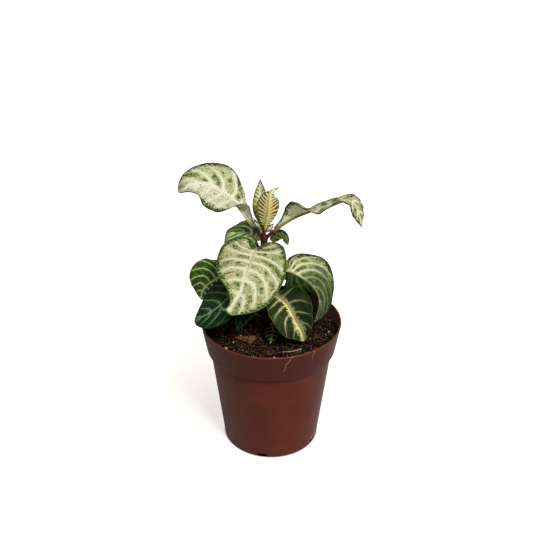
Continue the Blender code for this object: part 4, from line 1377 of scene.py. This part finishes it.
def leaf_stalk(name, leaf):
    """The stalk, running on as the rib under the blade. "rib" goes from 1 at the stem to 0 at the tip."""
    places, along, _, left, up, tilts = midrib_frame(leaf)
    bare = leaf["stalk"] * MM
    end = bare + RIB_END * (along[-1] - bare)
    wanted = np.linspace(0, end, STALK_POINTS)
    part = np.clip((wanted - bare) / (along[-1] - bare), 0, 1)
    size = SMALL_STALK if leaf.get("small") else 1
    radius = size * (STALK_RADIUS + (RIB_TIP_RADIUS - STALK_RADIUS) * part ** 0.7)
    radius += size * STALK_FLARE * np.exp(-wanted / STALK_FLARE_LENGTH)
    at = np.stack([np.interp(wanted, along, column) for column in places.T], axis=1)
    tilt_left, tilt_right = tilts.T[:, :, None]
    above = up * (np.cos(tilt_left) + np.cos(tilt_right))
    above = above + left * (np.sin(tilt_right) - np.sin(tilt_left))
    above = np.stack([np.interp(wanted, along, column) for column in above.T], axis=1)
    folded_down = np.interp(wanted, along, (tilts.sum(axis=1) < 0).astype(float))
    openness = 1 - folded_down * (1 - np.clip(np.linalg.norm(above, axis=1) / 2, 0.35, 1))
    above /= np.maximum(np.linalg.norm(above, axis=1), 0.2)[:, None]
    under_blade = np.clip((wanted - bare * 0.7) / (bare * 0.5), 0, 1)
    depth = BLADE_THICKNESS / 2 + RIB_GROOVE * under_blade + radius * (0.5 + 0.25 * under_blade)
    at = at - above * (depth / openness)[:, None]
    piece = tubes(name, [np.column_stack([at, radius]).tolist()], 3)
    near = np.linalg.norm(vertex_places(piece)[:, None] - at[None], axis=2).argmin(axis=1)
    rib = np.where(wanted < bare, 1 - 0.5 * wanted / bare, 0.5 - 0.45 * (wanted - bare) / (end - bare))
    write_attribute(piece, "rib", rib[near])
    return piece


def fine_leaf(node):
    """Blade and stalk joined into one piece."""
    leaf = LEAVES[node]
    piece = leaf_blade(node + "_blade", leaf)
    stalk = leaf_stalk(node + "_stalk", leaf)
    select_only(piece, stalk)
    bpy.ops.object.join()
    return piece


# %% [markdown]
# One node group paints every leaf, and each leaf sets its own values. An image painted by hand would
# be the other way, but it would have to be drawn again for each leaf. The group reads what the leaf
# pieces carry: the attribute "leaf" with distances in millimetres, "under" and "rib", and the UV map.
# Here are its inputs with plain starting values. Colours come first, then widths and strengths.

# %% The leaf paint group and its inputs
LEAF_INPUTS = [
    ("Ground", colour(60, 100, 50)), ("Deep", colour(30, 60, 30)), ("Pale", colour(220, 220, 190)),
    ("Shade", colour(120, 140, 90)), ("Dark", colour(30, 60, 30)), ("Fleck", colour(40, 80, 40)),
    ("Edge", colour(90, 130, 60)), ("Under", colour(120, 140, 110)), ("Stalk", colour(110, 50, 55)),
    ("Rib", colour(150, 150, 80)),
    ("Veins", 7.0), ("Vein", 1.0), ("Vein end", 0.4), ("Vein fade", 1.3), ("Feather", 2.0), ("Band", 1.5),
    ("Band tip", 1.0), ("Wash", 0.0), ("Patches", 0.6), ("Flecks", 0.5), ("Rim", 0.5), ("Rim reach", 4.0),
    ("Dashes", 0.0), ("Edge width", 0.6), ("Rib end", 0.6), ("Dark left", 0.0), ("Dark right", 0.0),
    ("Dark tip", 0.0), ("Under as top", 0.0), ("Short by tip", 0.0), ("Slant", 0.0), ("Plain left", 0.0),
    ("Shift", 0.0),
]
LEAF_RESULTS = [("Color", "Color"), ("Height", "Float"), ("Gloss", "Float")]
w, given, result = new_group("Leaf paint", LEAF_INPUTS, LEAF_RESULTS)
place = w.add("VectorMath", w.object_place(), w.vector(given["Shift"], 0, 0)).outputs[0]
measures = w.add("SeparateXYZ", w.attribute("leaf", "Vector")).outputs
to_rib, to_margin, spacing = measures["X"], measures["Y"], measures["Z"]
leaf_uv = w.add("SeparateXYZ", w.add("UVMap", uv_map="UVMap").outputs["UV"]).outputs
across, row = leaf_uv["X"], leaf_uv["Y"]
blade_width = w.plus(to_rib, to_margin, 0.01)
out = w.over(to_rib, blade_width)
print("leaf paint takes", len(LEAF_INPUTS), "values")

# %% [markdown]
# Some leaves are dark on one half or towards the tip, and one is plain on its left half. U is under
# 0.5 on the left half. These masks only say where, and are used further down.

# %% Dark and plain halves
right_half = w.step(across, 0.49, 0.51)
left_half = w.step(across, 0.51, 0.49)
dark_tip = w.times(w.step(row, 0.42, 0.62), given["Dark tip"])
dark = w.most(w.times(right_half, given["Dark right"]), w.times(left_half, given["Dark left"]), dark_tip)
light = w.minus(1.0, w.times(dark, 0.9))
plain = w.times(left_half, given["Plain left"])
print("halves: nodes so far", len(w.tree.nodes))

# %% [markdown]
# Side veins are found from V. Its fraction between two veins, times the row spacing, is the distance
# to the vein in millimetres, so a vein keeps its true width wherever the leaf narrows. The slant
# turns them off the grid's rows, and dividing by the steepness of the count keeps the width true.

# %% Side veins
WOBBLE_SCALE = 130.0
UNEVEN_SCALE = 330.0
wobble = w.times(w.minus(w.noise(place, WOBBLE_SCALE, 2), 0.5), 0.022)
vein_count = w.times(w.plus(row, wobble), given["Veins"])
vein_count = w.minus(vein_count, w.times(out, given["Slant"]))
between = w.math("ABSOLUTE", w.minus(w.math("FRACT", vein_count), 0.5))
down_leaf = w.over(given["Veins"], spacing)
over_leaf = w.over(given["Slant"], blade_width)
steepness = w.math("SQRT", w.plus(w.times(down_leaf, down_leaf), w.times(over_leaf, over_leaf)))
to_vein = w.over(between, steepness)
taper = w.times(w.step(out, 0.0, 1.0, 1.0, 0.0), w.minus(given["Vein"], given["Vein end"]))
uneven = w.step(w.noise(place, UNEVEN_SCALE, 2), 0.3, 0.7, 0.72, 1.28)
width = w.times(w.plus(taper, given["Vein end"]), 0.5, uneven)
vein = w.step(to_vein, w.plus(w.times(width, 1.7), 0.15), w.times(width, 0.2))
fade_at = w.minus(given["Vein fade"], w.times(given["Short by tip"], w.step(row, 0.12, 0.42)))
vein = w.times(vein, w.step(out, fade_at, w.minus(fade_at, 0.3)))
print("veins: nodes so far", len(w.tree.nodes))

# %% [markdown]
# A real vein has short pale barbs on both sides, and a pale band runs along the midrib. Both edges
# are ragged. The noise for them is read at a place made of distances and counts, which stretches it
# along the veins, so the barbs follow them round every curl.

# %% Feathers and the midrib's band
barb_place = w.vector(w.times(to_rib, 0.95), w.times(vein_count, 0.8), given["Shift"])
barbs = w.step(w.noise(barb_place, 1.0, 3, 0.6), 0.38, 0.72)
barb_reach = w.times(barbs, given["Feather"], w.step(out, 0.9, 0.15))
feather = w.step(to_vein, w.plus(width, barb_reach, 0.2), width)
band_place = w.vector(w.times(to_rib, 0.5), w.times(row, 46.0), given["Shift"])
band_width = w.plus(given["Band"], w.times(w.minus(given["Band tip"], given["Band"]), row))
band_reach = w.times(band_width, w.step(w.noise(band_place, 1.0, 3, 0.6), 0.3, 0.75, 0.5, 2.0))
band = w.step(to_rib, w.plus(band_reach, 0.4), w.times(band_reach, 0.45))
pale = w.most(vein, w.times(feather, 0.6), band)
print("feathers and band: nodes so far", len(w.tree.nodes))

# %% [markdown]
# The tissue is two greens in soft patches with finer streaks and grain. A net of the finest veins
# lies over it, which is a Voronoi texture's distance to the edge of its cells. Young leaves are also
# washed pale near the veins.

# %% Tissue
PATCH_SCALE = 210.0
GRAIN_SCALE = 780.0
NET_SCALE = 620.0
patches = w.noise(place, PATCH_SCALE, 3, 0.6)
streak_place = w.vector(w.times(to_rib, 0.22), w.times(vein_count, 6.5), given["Shift"])
streaks = w.noise(streak_place, 1.0, 3, 0.6)
grain = w.noise(place, GRAIN_SCALE, 3, 0.7)
tone = w.plus(w.times(patches, 0.35), w.times(streaks, 0.25), w.times(grain, 0.4))
tissue = w.mix(w.step(tone, 0.42, 0.57), given["Deep"], given["Ground"])
net = w.step(w.cells(place, NET_SCALE, feature="DISTANCE_TO_EDGE")["Distance"], 0.10, 0.0)
net_shown = w.step(given["Wash"], 0.0, 0.3, 0.03, 0.18)
tissue = w.mix(w.times(net, net_shown), tissue, given["Pale"])
near_vein = w.step(between, 0.34, 0.02)
wash = w.plus(w.times(near_vein, 0.7), w.step(w.plus(streaks, grain), 0.9, 1.25, 0.0, 0.6))
wash = w.times(given["Wash"], wash, w.step(out, 1.0, 0.25, 0.45, 1.0))
wash = w.most(wash, w.times(plain, w.step(grain, 0.35, 0.7, 0.3, 0.8)))
tissue = w.mix(wash, tissue, given["Pale"])
print("tissue: nodes so far", len(w.tree.nodes))

# %% [markdown]
# The green deepens in clusters half way between two veins and along the margin. Ragged blotches lie
# there too. The pale marks are laid over the tissue now, and hold back where the leaf is dark.

# %% Deep patches and the rim
CLUSTER_SCALE = 125.0
RAGGED_SCALE = 540.0
mid_way = w.step(between, 0.12, 0.42)
off_rib = w.step(to_rib, 0.8, 3.6)
clusters = w.step(w.noise(place, CLUSTER_SCALE, 2, 0.5), 0.47, 0.60)
inner_patch = w.times(clusters, mid_way, given["Patches"], w.minus(1.0, plain), off_rib)
rim = w.most(w.minus(1.0, w.over(to_margin, given["Rim reach"])), 0.0)
rim = w.times(rim, given["Rim"], w.step(row, 0.95, 0.5, 0.3, 1.0))
patch = w.most(inner_patch, rim)
push = w.most(w.times(inner_patch, 0.10), w.times(rim, 0.30))
ragged = w.plus(w.noise(place, RAGGED_SCALE, 3, 0.65), push)
tissue = w.mix(w.times(patch, 0.75), tissue, given["Shade"])
tissue = w.mix(dark, tissue, w.mix(w.step(patches, 0.4, 0.7), given["Dark"], given["Shade"]))
shown = w.times(light, w.minus(1.0, w.times(rim, 0.7)))
painted = w.mix(w.times(pale, shown), tissue, given["Pale"])
off_vein = w.step(w.times(vein, shown), 0.15, 0.8, 1.0, 0.08)
blotch = w.times(w.step(ragged, 0.60, 0.66), given["Flecks"], off_vein)
painted = w.mix(w.times(blotch, 0.9), painted, given["Fleck"])
print("patches: nodes so far", len(w.tree.nodes))

# %% [markdown]
# Dark flecks are the cells of a second Voronoi texture. Each cell has a random colour, and its parts
# serve as dice: one says whether the cell shows, more often where a patch is deep, and one how large
# it is. The place is shaken a little, so that no fleck is round.

# %% Flecks
FLECK_SCALE = 740.0
SHAKE_SCALE = 900.0
SHAKE = 1.1 * MM
shake = w.add("TexNoise", place, None, SHAKE_SCALE).outputs["Color"]
shift = w.add("VectorMath", shake, (SHAKE,) * 3, operation="MULTIPLY").outputs[0]
cells = w.cells(w.add("VectorMath", place, shift).outputs[0], FLECK_SCALE)
dice = w.add("SeparateXYZ", cells["Color"]).outputs
wanted = w.most(w.times(patch, 0.85), w.times(w.step(to_margin, 6.0, 1.0), 0.22), 0.05)
wanted = w.times(wanted, off_rib, given["Flecks"])
chosen = w.step(w.minus(wanted, dice["X"]), 0.0, 0.03)
spot_size = w.plus(w.times(dice["Y"], 0.28), 0.26)
fleck = w.step(cells["Distance"], spot_size, w.times(spot_size, 0.7))
fleck = w.times(fleck, chosen, w.step(vein, 0.2, 0.9, 1.0, 0.1))
painted = w.mix(w.times(fleck, 0.92), painted, given["Fleck"])
print("flecks: nodes so far", len(w.tree.nodes))

# %% [markdown]
# Last on the upper side come the dashes between the bud's veins, the line along the margin, and the
# thin line on the midrib, which ends some way before the tip.

# %% Dashes and lines
DASH_SCALE = 420.0
dash = w.times(w.step(between, 0.16, 0.30), w.step(out, 0.22, 0.50))
dash = w.times(dash, w.step(w.noise(place, DASH_SCALE, 2), 0.36, 0.50), given["Dashes"])
painted = w.mix(dash, painted, given["Fleck"])
edge_width = w.times(given["Edge width"], uneven)
at_edge = w.step(to_margin, edge_width, w.times(edge_width, 0.5))
painted = w.mix(at_edge, painted, given["Edge"])
rib_shown = w.step(row, given["Rib end"], w.minus(given["Rib end"], 0.35), 0.0, 0.85)
painted = w.mix(w.times(w.step(to_rib, 0.95, 0.6), rib_shown), painted, given["Rib"])
print("lines: nodes so far", len(w.tree.nodes))

# %% [markdown]
# The under side is duller, and shows the same marks faintly. The attribute "under" is 1 on the
# Solidify modifier's second layer. The bud's leaves show their outer side, so they keep the marks.

# %% The under side
below = w.mix(w.times(w.most(vein, w.times(net, 0.35)), 0.5), given["Under"], given["Pale"])
below = w.mix(w.times(patch, 0.55), below, given["Shade"])
below = w.mix(w.times(w.most(fleck, blotch), 0.8), below, given["Fleck"])
below = w.mix(at_edge, below, given["Edge"])
under = w.attribute("under")
blade_paint = w.mix(w.times(under, w.minus(1.0, given["Under as top"])), painted, below)
print("under side: nodes so far", len(w.tree.nodes))

# %% [markdown]
# The stalk's colour runs over into the rib's below the blade. The group puts out a colour, a height
# in millimetres for small relief, and how much duller the skin is there. The shader stays outside.

# %% Stalk, relief and the end of the group
STALK_NOISE_SCALE = 500.0
RELIEF_SCALE = 1900.0
rib = w.attribute("rib")
stalk_paint = w.mix(w.step(rib, 0.42, 0.64), given["Rib"], given["Stalk"])
stalk_marks = w.step(w.noise(place, STALK_NOISE_SCALE, 3), 0.45, 0.8, 0.0, 0.4)
stalk_paint = w.mix(stalk_marks, stalk_paint, given["Dark"])
w.feed(result["Color"], w.mix(w.step(rib, 0.01, 0.03), blade_paint, stalk_paint))
relief = w.plus(w.times(w.plus(vein, net), -0.07), w.times(streaks, 0.08))
w.feed(result["Height"], w.plus(relief, w.times(w.noise(place, RELIEF_SCALE, 2), 0.03)))
w.feed(result["Gloss"], w.plus(w.step(patches, 0.3, 0.7, 0.0, 0.08), w.times(under, 0.12)))
LEAF_PAINT = w.tree
print("leaf paint has", len(LEAF_PAINT.nodes), "nodes")

# %% [markdown]
# A look is a set of values for the paint. Young leaves at the top are nearly white between fine green
# flecks. Older ones lower down are dark green with cream or bluish veins. Two common looks, pale and
# dark, carry what most leaves share. An underscore stands for a space in the input's name.

# %% The two common looks
PURPLE = colour(92, 40, 46)
OLIVE = colour(146, 142, 78)
PALE_LEAF = dict(
    Ground=colour(192, 190, 136), Deep=colour(146, 154, 92), Pale=colour(232, 230, 198),
    Shade=colour(104, 130, 62), Dark=colour(34, 58, 26), Fleck=colour(24, 52, 14), Edge=colour(78, 100, 34),
    Under=colour(158, 158, 120), Vein=1.7, Vein_end=1.1, Feather=0.8, Band=1.3, Band_tip=0.9, Wash=0.75,
    Patches=0.9, Flecks=1.0, Rim=1.0, Rim_reach=5, Edge_width=1.0,
)
DARK_LEAF = dict(
    Ground=colour(46, 74, 28), Deep=colour(22, 48, 16), Pale=colour(150, 162, 104),
    Shade=colour(24, 54, 20), Dark=colour(14, 34, 12), Fleck=colour(12, 34, 12), Edge=colour(66, 92, 30),
    Under=colour(84, 108, 72), Vein=1.0, Vein_end=0.6, Feather=0.9, Band=0.7, Band_tip=0.5, Wash=0.08,
    Patches=0.5, Flecks=0.25, Rim=0.4, Rim_reach=5, Edge_width=0.8,
)
print("a common look sets", len(PALE_LEAF), "values")

# %% [markdown]
# Each leaf starts from one of the two and names only what differs in the photo.

# %% Leaf looks
LOOKS = {
    "leaf_upper_left": dict(
        PALE_LEAF, Ground=colour(202, 203, 152), Vein=2.0, Vein_end=0.4, Band=4.0, Band_tip=3.0, Rim_reach=7,
        Rib=colour(206, 208, 170), Rib_end=0.3, Under=colour(182, 184, 150), Plain_left=1.0,
        Edge=colour(50, 74, 26),
    ),
    # The upper right leaf's under side is painted near white: partly its own pale colour, and partly painted
    # light for what shines through the leaf.
    "leaf_upper_right": dict(
        PALE_LEAF, Vein=1.4, Wash=0.5, Under=colour(236, 238, 196), Edge=colour(30, 50, 18), Edge_width=1.5,
        Patches=1.0, Rim=1.0,
    ),
    "bud_leaf_front": dict(
        PALE_LEAF, Ground=colour(206, 192, 98), Deep=colour(184, 164, 70), Pale=colour(236, 228, 170),
        Shade=colour(172, 148, 58), Fleck=colour(74, 44, 14), Edge=colour(78, 54, 24),
        Rib=colour(212, 198, 112), Stalk=colour(112, 60, 54), Vein=0.8, Vein_end=0.8, Feather=0.1,
        Band=1.5, Band_tip=1.0, Wash=0.25, Patches=0.4, Flecks=0.4, Rim=0.4, Rim_reach=2, Dashes=1.0,
        Edge_width=0.7, Under_as_top=1.0,
    ),
    "bud_leaf_back": dict(
        PALE_LEAF, Ground=colour(250, 255, 172), Deep=colour(226, 236, 92), Pale=colour(252, 255, 232),
        Shade=colour(190, 200, 34), Fleck=colour(104, 112, 8), Edge=colour(140, 128, 20), Vein=1.3,
        Vein_end=0.8, Feather=0.1, Band=2.4, Dashes=0.6, Patches=0.9, Flecks=0.8, Rim=1.0, Rim_reach=4,
        Edge_width=1.0, Under_as_top=1.0,
    ),
    "leaf_front_heart": dict(
        PALE_LEAF, Rib=colour(180, 166, 116), Rib_end=0.8, Vein=1.5, Vein_end=0.7, Vein_fade=0.97, Band=1.9,
        Band_tip=1.5, Edge=colour(104, 136, 44), Roughness=0.46, Stalk=colour(112, 92, 70),
    ),
    "leaf_back_left": dict(
        DARK_LEAF, Ground=colour(100, 142, 58), Deep=colour(38, 78, 18), Pale=colour(204, 216, 152),
        Vein=2.1, Vein_end=1.7, Feather=1.6, Slant=1.9,
    ),
    "leaf_back_small": dict(
        DARK_LEAF, Ground=colour(34, 66, 22), Deep=colour(16, 40, 10), Pale=colour(150, 164, 100), Band=1.3,
        Flecks=0.1, Vein=1.4, Vein_end=1.0,
    ),
    "leaf_left": dict(
        DARK_LEAF, Ground=colour(70, 110, 36), Deep=colour(30, 62, 14), Pale=colour(202, 214, 150), Vein=1.2,
        Edge=colour(112, 126, 42), Shade=colour(24, 56, 12), Patches=0.7, Flecks=0.4,
    ),
    "leaf_left_low": dict(
        DARK_LEAF, Ground=colour(26, 68, 28), Deep=colour(6, 31, 9), Pale=colour(126, 160, 112),
        Shade=colour(6, 36, 16), Edge=colour(40, 74, 26), Vein=0.9, Vein_end=0.3, Feather=3.2, Vein_fade=1.0,
        Band=1.0, Band_tip=0.8, Roughness=0.32,
    ),
    "leaf_right_arched": dict(
        PALE_LEAF, Ground=colour(176, 180, 124), Deep=colour(112, 132, 66), Shade=colour(62, 86, 32),
        Dark=colour(24, 58, 2), Fleck=colour(22, 44, 12), Edge=colour(44, 74, 26), Under=colour(26, 46, 12),
        Pale=colour(228, 226, 182), Slant=2.0, Wash=0.6, Vein=1.7, Vein_end=1.0, Rim=1.0, Rim_reach=9,
        Dark_right=1.0, Dark_tip=0.85, Edge_width=1.3, Rib=colour(200, 192, 138),
    ),
    "leaf_front_right": dict(
        DARK_LEAF, Ground=colour(32, 64, 5), Deep=colour(4, 20, 1), Pale=colour(232, 226, 156),
        Edge=colour(80, 104, 30), Vein=0.8, Vein_end=0.2, Vein_fade=0.72, Feather=3.4, Band=1.9, Band_tip=4.6,
        Rib=colour(140, 114, 68), Rib_end=0.7, Short_by_tip=0.5, Dark=colour(8, 22, 1), Dark_left=0.7,
        Roughness=0.5, Patches=0.8, Shade=colour(12, 32, 3), Flecks=0.5, Fleck=colour(8, 22, 2), Rim=0.6,
    ),
    "leaf_back_low_left": DARK_LEAF,
    "leaf_back_low_right": dict(DARK_LEAF, Ground=colour(28, 68, 36), Pale=colour(134, 164, 116)),
    "leaf_small_left": dict(
        DARK_LEAF, Ground=colour(12, 34, 22), Deep=colour(5, 18, 11), Pale=colour(66, 92, 68), Vein=0.5,
        Band=0.6,
    ),
    "leaf_small_front": dict(
        DARK_LEAF, Ground=colour(12, 24, 12), Deep=colour(5, 12, 6), Pale=colour(128, 140, 74), Vein=0.7,
        Vein_end=0.3, Band=0.5, Feather=0.3, Edge=colour(18, 32, 14), Shade=colour(8, 20, 10),
    ),
}
print("looks:", len(LOOKS))

# %% [markdown]
# A leaf's material is the paint group, its look's values, and a Principled BSDF. A waxy leaf has
# little gloss, and a bit of light goes through it, more in green than in blue: that is subsurface
# scattering, whose radius has a part for each colour.

# %% Leaf material
USUAL_LEAF_ROUGHNESS = 0.42
LIGHT_IN_LEAF = (0.6, 0.9, 0.25)
LIGHT_DEPTH = 1.5 * MM
LEAF_SHIFT = 0.37


def leaf_material(node, look, number, leaf):
    """The number gives each leaf its own part of the noise."""
    look = {"Rib": OLIVE, "Stalk": PURPLE, "Roughness": USUAL_LEAF_ROUGHNESS, **look}
    roughness = look.pop("Roughness")
    material, w, shader = new_material(
        node + "_skin", roughness, Subsurface_Weight=0.12, Specular_IOR_Level=0.09
    )
    shader["Subsurface Radius"].default_value = LIGHT_IN_LEAF
    shader["Subsurface Scale"].default_value = LIGHT_DEPTH
    paint = w.add("Group")
    paint.node_tree = LEAF_PAINT
    for title, value in look.items():
        paint.inputs[title.replace("_", " ")].default_value = value
    paint.inputs["Veins"].default_value = leaf.get("veins", USUAL_VEINS)
    paint.inputs["Shift"].default_value = LEAF_SHIFT * number
    w.feed(shader["Base Color"], paint.outputs["Color"])
    w.feed(shader["Roughness"], w.plus(roughness, paint.outputs["Gloss"]))
    add_bump(w, shader, paint.outputs["Height"])
    return material


print("usual roughness of a leaf:", USUAL_LEAF_ROUGHNESS)

# %% [markdown]
# Two tiny scraps stand out at the bud's base, the first sign of the next pair of leaves. They are
# blades without a stalk, made by the same functions.

# %% Scraps at the bud's base
SCRAP = dict(outline="lance", stalk=1, heading=(90, 90), curl=10, small=True, veins=3, quilt=0.1)
BUD_SCRAPS = {
    "bud_scrap_left": dict(
        SCRAP, half=1.7, wave=(0.2, 2, 0),
        midrib=[(-7, -3, 199.5, 0, 0), (-9.5, -4, 205, 0, 10), (-13, -4.5, 210, 0, 10),
                (-16.5, -4.5, 215, 0, 0)],
    ),
    "bud_scrap_right": dict(
        SCRAP, half=2.3, wave=(0.2, 2, 0.5),
        midrib=[(-4.5, -2, 198.5, 0, 0), (-2.5, -3, 202, 0, 0), (0, -3, 205.5, 0, 0), (2, -3, 208, 0, 0)],
    ),
}
SCRAP_LOOK = dict(PALE_LEAF, Edge=colour(58, 84, 40), Edge_width=0.9, Patches=0.4, Rim=0.5)
SCRAP_NUMBER = 20
for name, leaf in BUD_SCRAPS.items():
    scrap = leaf_blade(name, leaf)
    hand_over(scrap, "bud_leaf_front", leaf_material(name, SCRAP_LOOK, SCRAP_NUMBER, leaf))

# %% [markdown]
# With shapes, looks and functions ready, the leaves themselves are one short loop.

# %% All leaves
for number, (node, leaf) in enumerate(LEAVES.items()):
    hand_over(fine_leaf(node), node, leaf_material(node, LOOKS[node], number, leaf), node)

# %% [markdown]
# The dry leaf on the soil is a small curled grid in its own right, brown, with a crumpled surface. Its
# outline gives, along the leaf from 0 to 1, how far it reaches back and to the front in millimetres.

# %% Dry leaf
DRY_LEAF_FROM = (-30.5 * MM, -18 * MM)
DRY_LEAF_TO = (-13 * MM, -18.5 * MM)
DRY_LEAF_OUTLINE = [
    (0, 0.8, 0.9), (0.25, 2.6, 2.2), (0.5, 3.2, 5), (0.7, 3.4, 8), (0.85, 3.6, 6.5), (1, 2.8, 2),
]
DRY_LEAF_CURL = 1.6 * MM
DRY_LEAF_CRUMPLE = 0.6 * MM
DRY_LEAF_CRUMPLE_SIZE = 2.2 * MM
DRY_LEAF_ABOVE_SOIL = 0.9 * MM
DRY_LEAF_THICKNESS = 0.45 * MM
DRY_LEAF_RAGGEDNESS = 0.16
start = Vector(DRY_LEAF_FROM)
run = Vector(DRY_LEAF_TO) - start
side = Vector((-run.y, run.x)).normalized()
parts_along, reach_back, reach_front = zip(*DRY_LEAF_OUTLINE)
bpy.ops.object.select_all(action="DESELECT")
bpy.ops.mesh.primitive_grid_add(x_subdivisions=20, y_subdivisions=48, size=2)
dry = bpy.context.active_object
dry.name = "dry_leaf_scrap"
flat = vertex_places(dry)
places = []
for across, forward, _ in flat:
    part = (forward + 1) / 2
    ragged = 1 + DRY_LEAF_RAGGEDNESS * noise.noise(Vector((part * 7, across > 0, 0.5)))
    reach = MM * np.interp(part, parts_along, reach_back if across > 0 else reach_front) * ragged
    spot = start + run * part + side * (reach * across)
    curl = DRY_LEAF_CURL * (across ** 2 + (2 * part - 1) ** 2) / 2
    crumple = DRY_LEAF_CRUMPLE * noise.noise(Vector((spot.x, spot.y, 0)) / DRY_LEAF_CRUMPLE_SIZE)
    high = soil_height(*spot) + DRY_LEAF_ABOVE_SOIL + curl + crumple
    places.append((spot.x, spot.y, high))
set_vertex_places(dry, places)
wall = dry.modifiers.new("Thickness", "SOLIDIFY")
wall.thickness = DRY_LEAF_THICKNESS
wall.offset = 0
apply_modifiers(dry)
print("dry leaf has", len(places), "places on its upper side")

# %% [markdown]
# Its material has a darker and a lighter brown, a rib down the middle and six veins across.

# %% Dry leaf material
DRY_VEINS = 6.0
dry_look, w, shader = new_material("dry_leaf_skin", 0.75)
tones, rough = mottle(w, colour(156, 96, 50), colour(120, 68, 32), colour(74, 42, 18), 160, 900)
uv = w.add("SeparateXYZ", w.add("UVMap", uv_map="UVMap").outputs["UV"]).outputs
dry_rib = w.step(w.math("ABSOLUTE", w.minus(uv["X"], 0.5)), 0.045, 0.015)
in_row = w.math("FRACT", w.times(uv["Y"], DRY_VEINS))
dry_veins = w.step(w.math("ABSOLUTE", w.minus(in_row, 0.5)), 0.08, 0.02)
lines = w.most(dry_rib, w.times(dry_veins, 0.6))
w.feed(shader["Base Color"], w.mix(w.times(lines, 0.6), tones, colour(176, 124, 80)))
add_bump(w, shader, w.plus(w.times(rough, 0.2), w.times(lines, 0.15)))
hand_over(dry, "dry_leaf", dry_look, "dry_leaf")
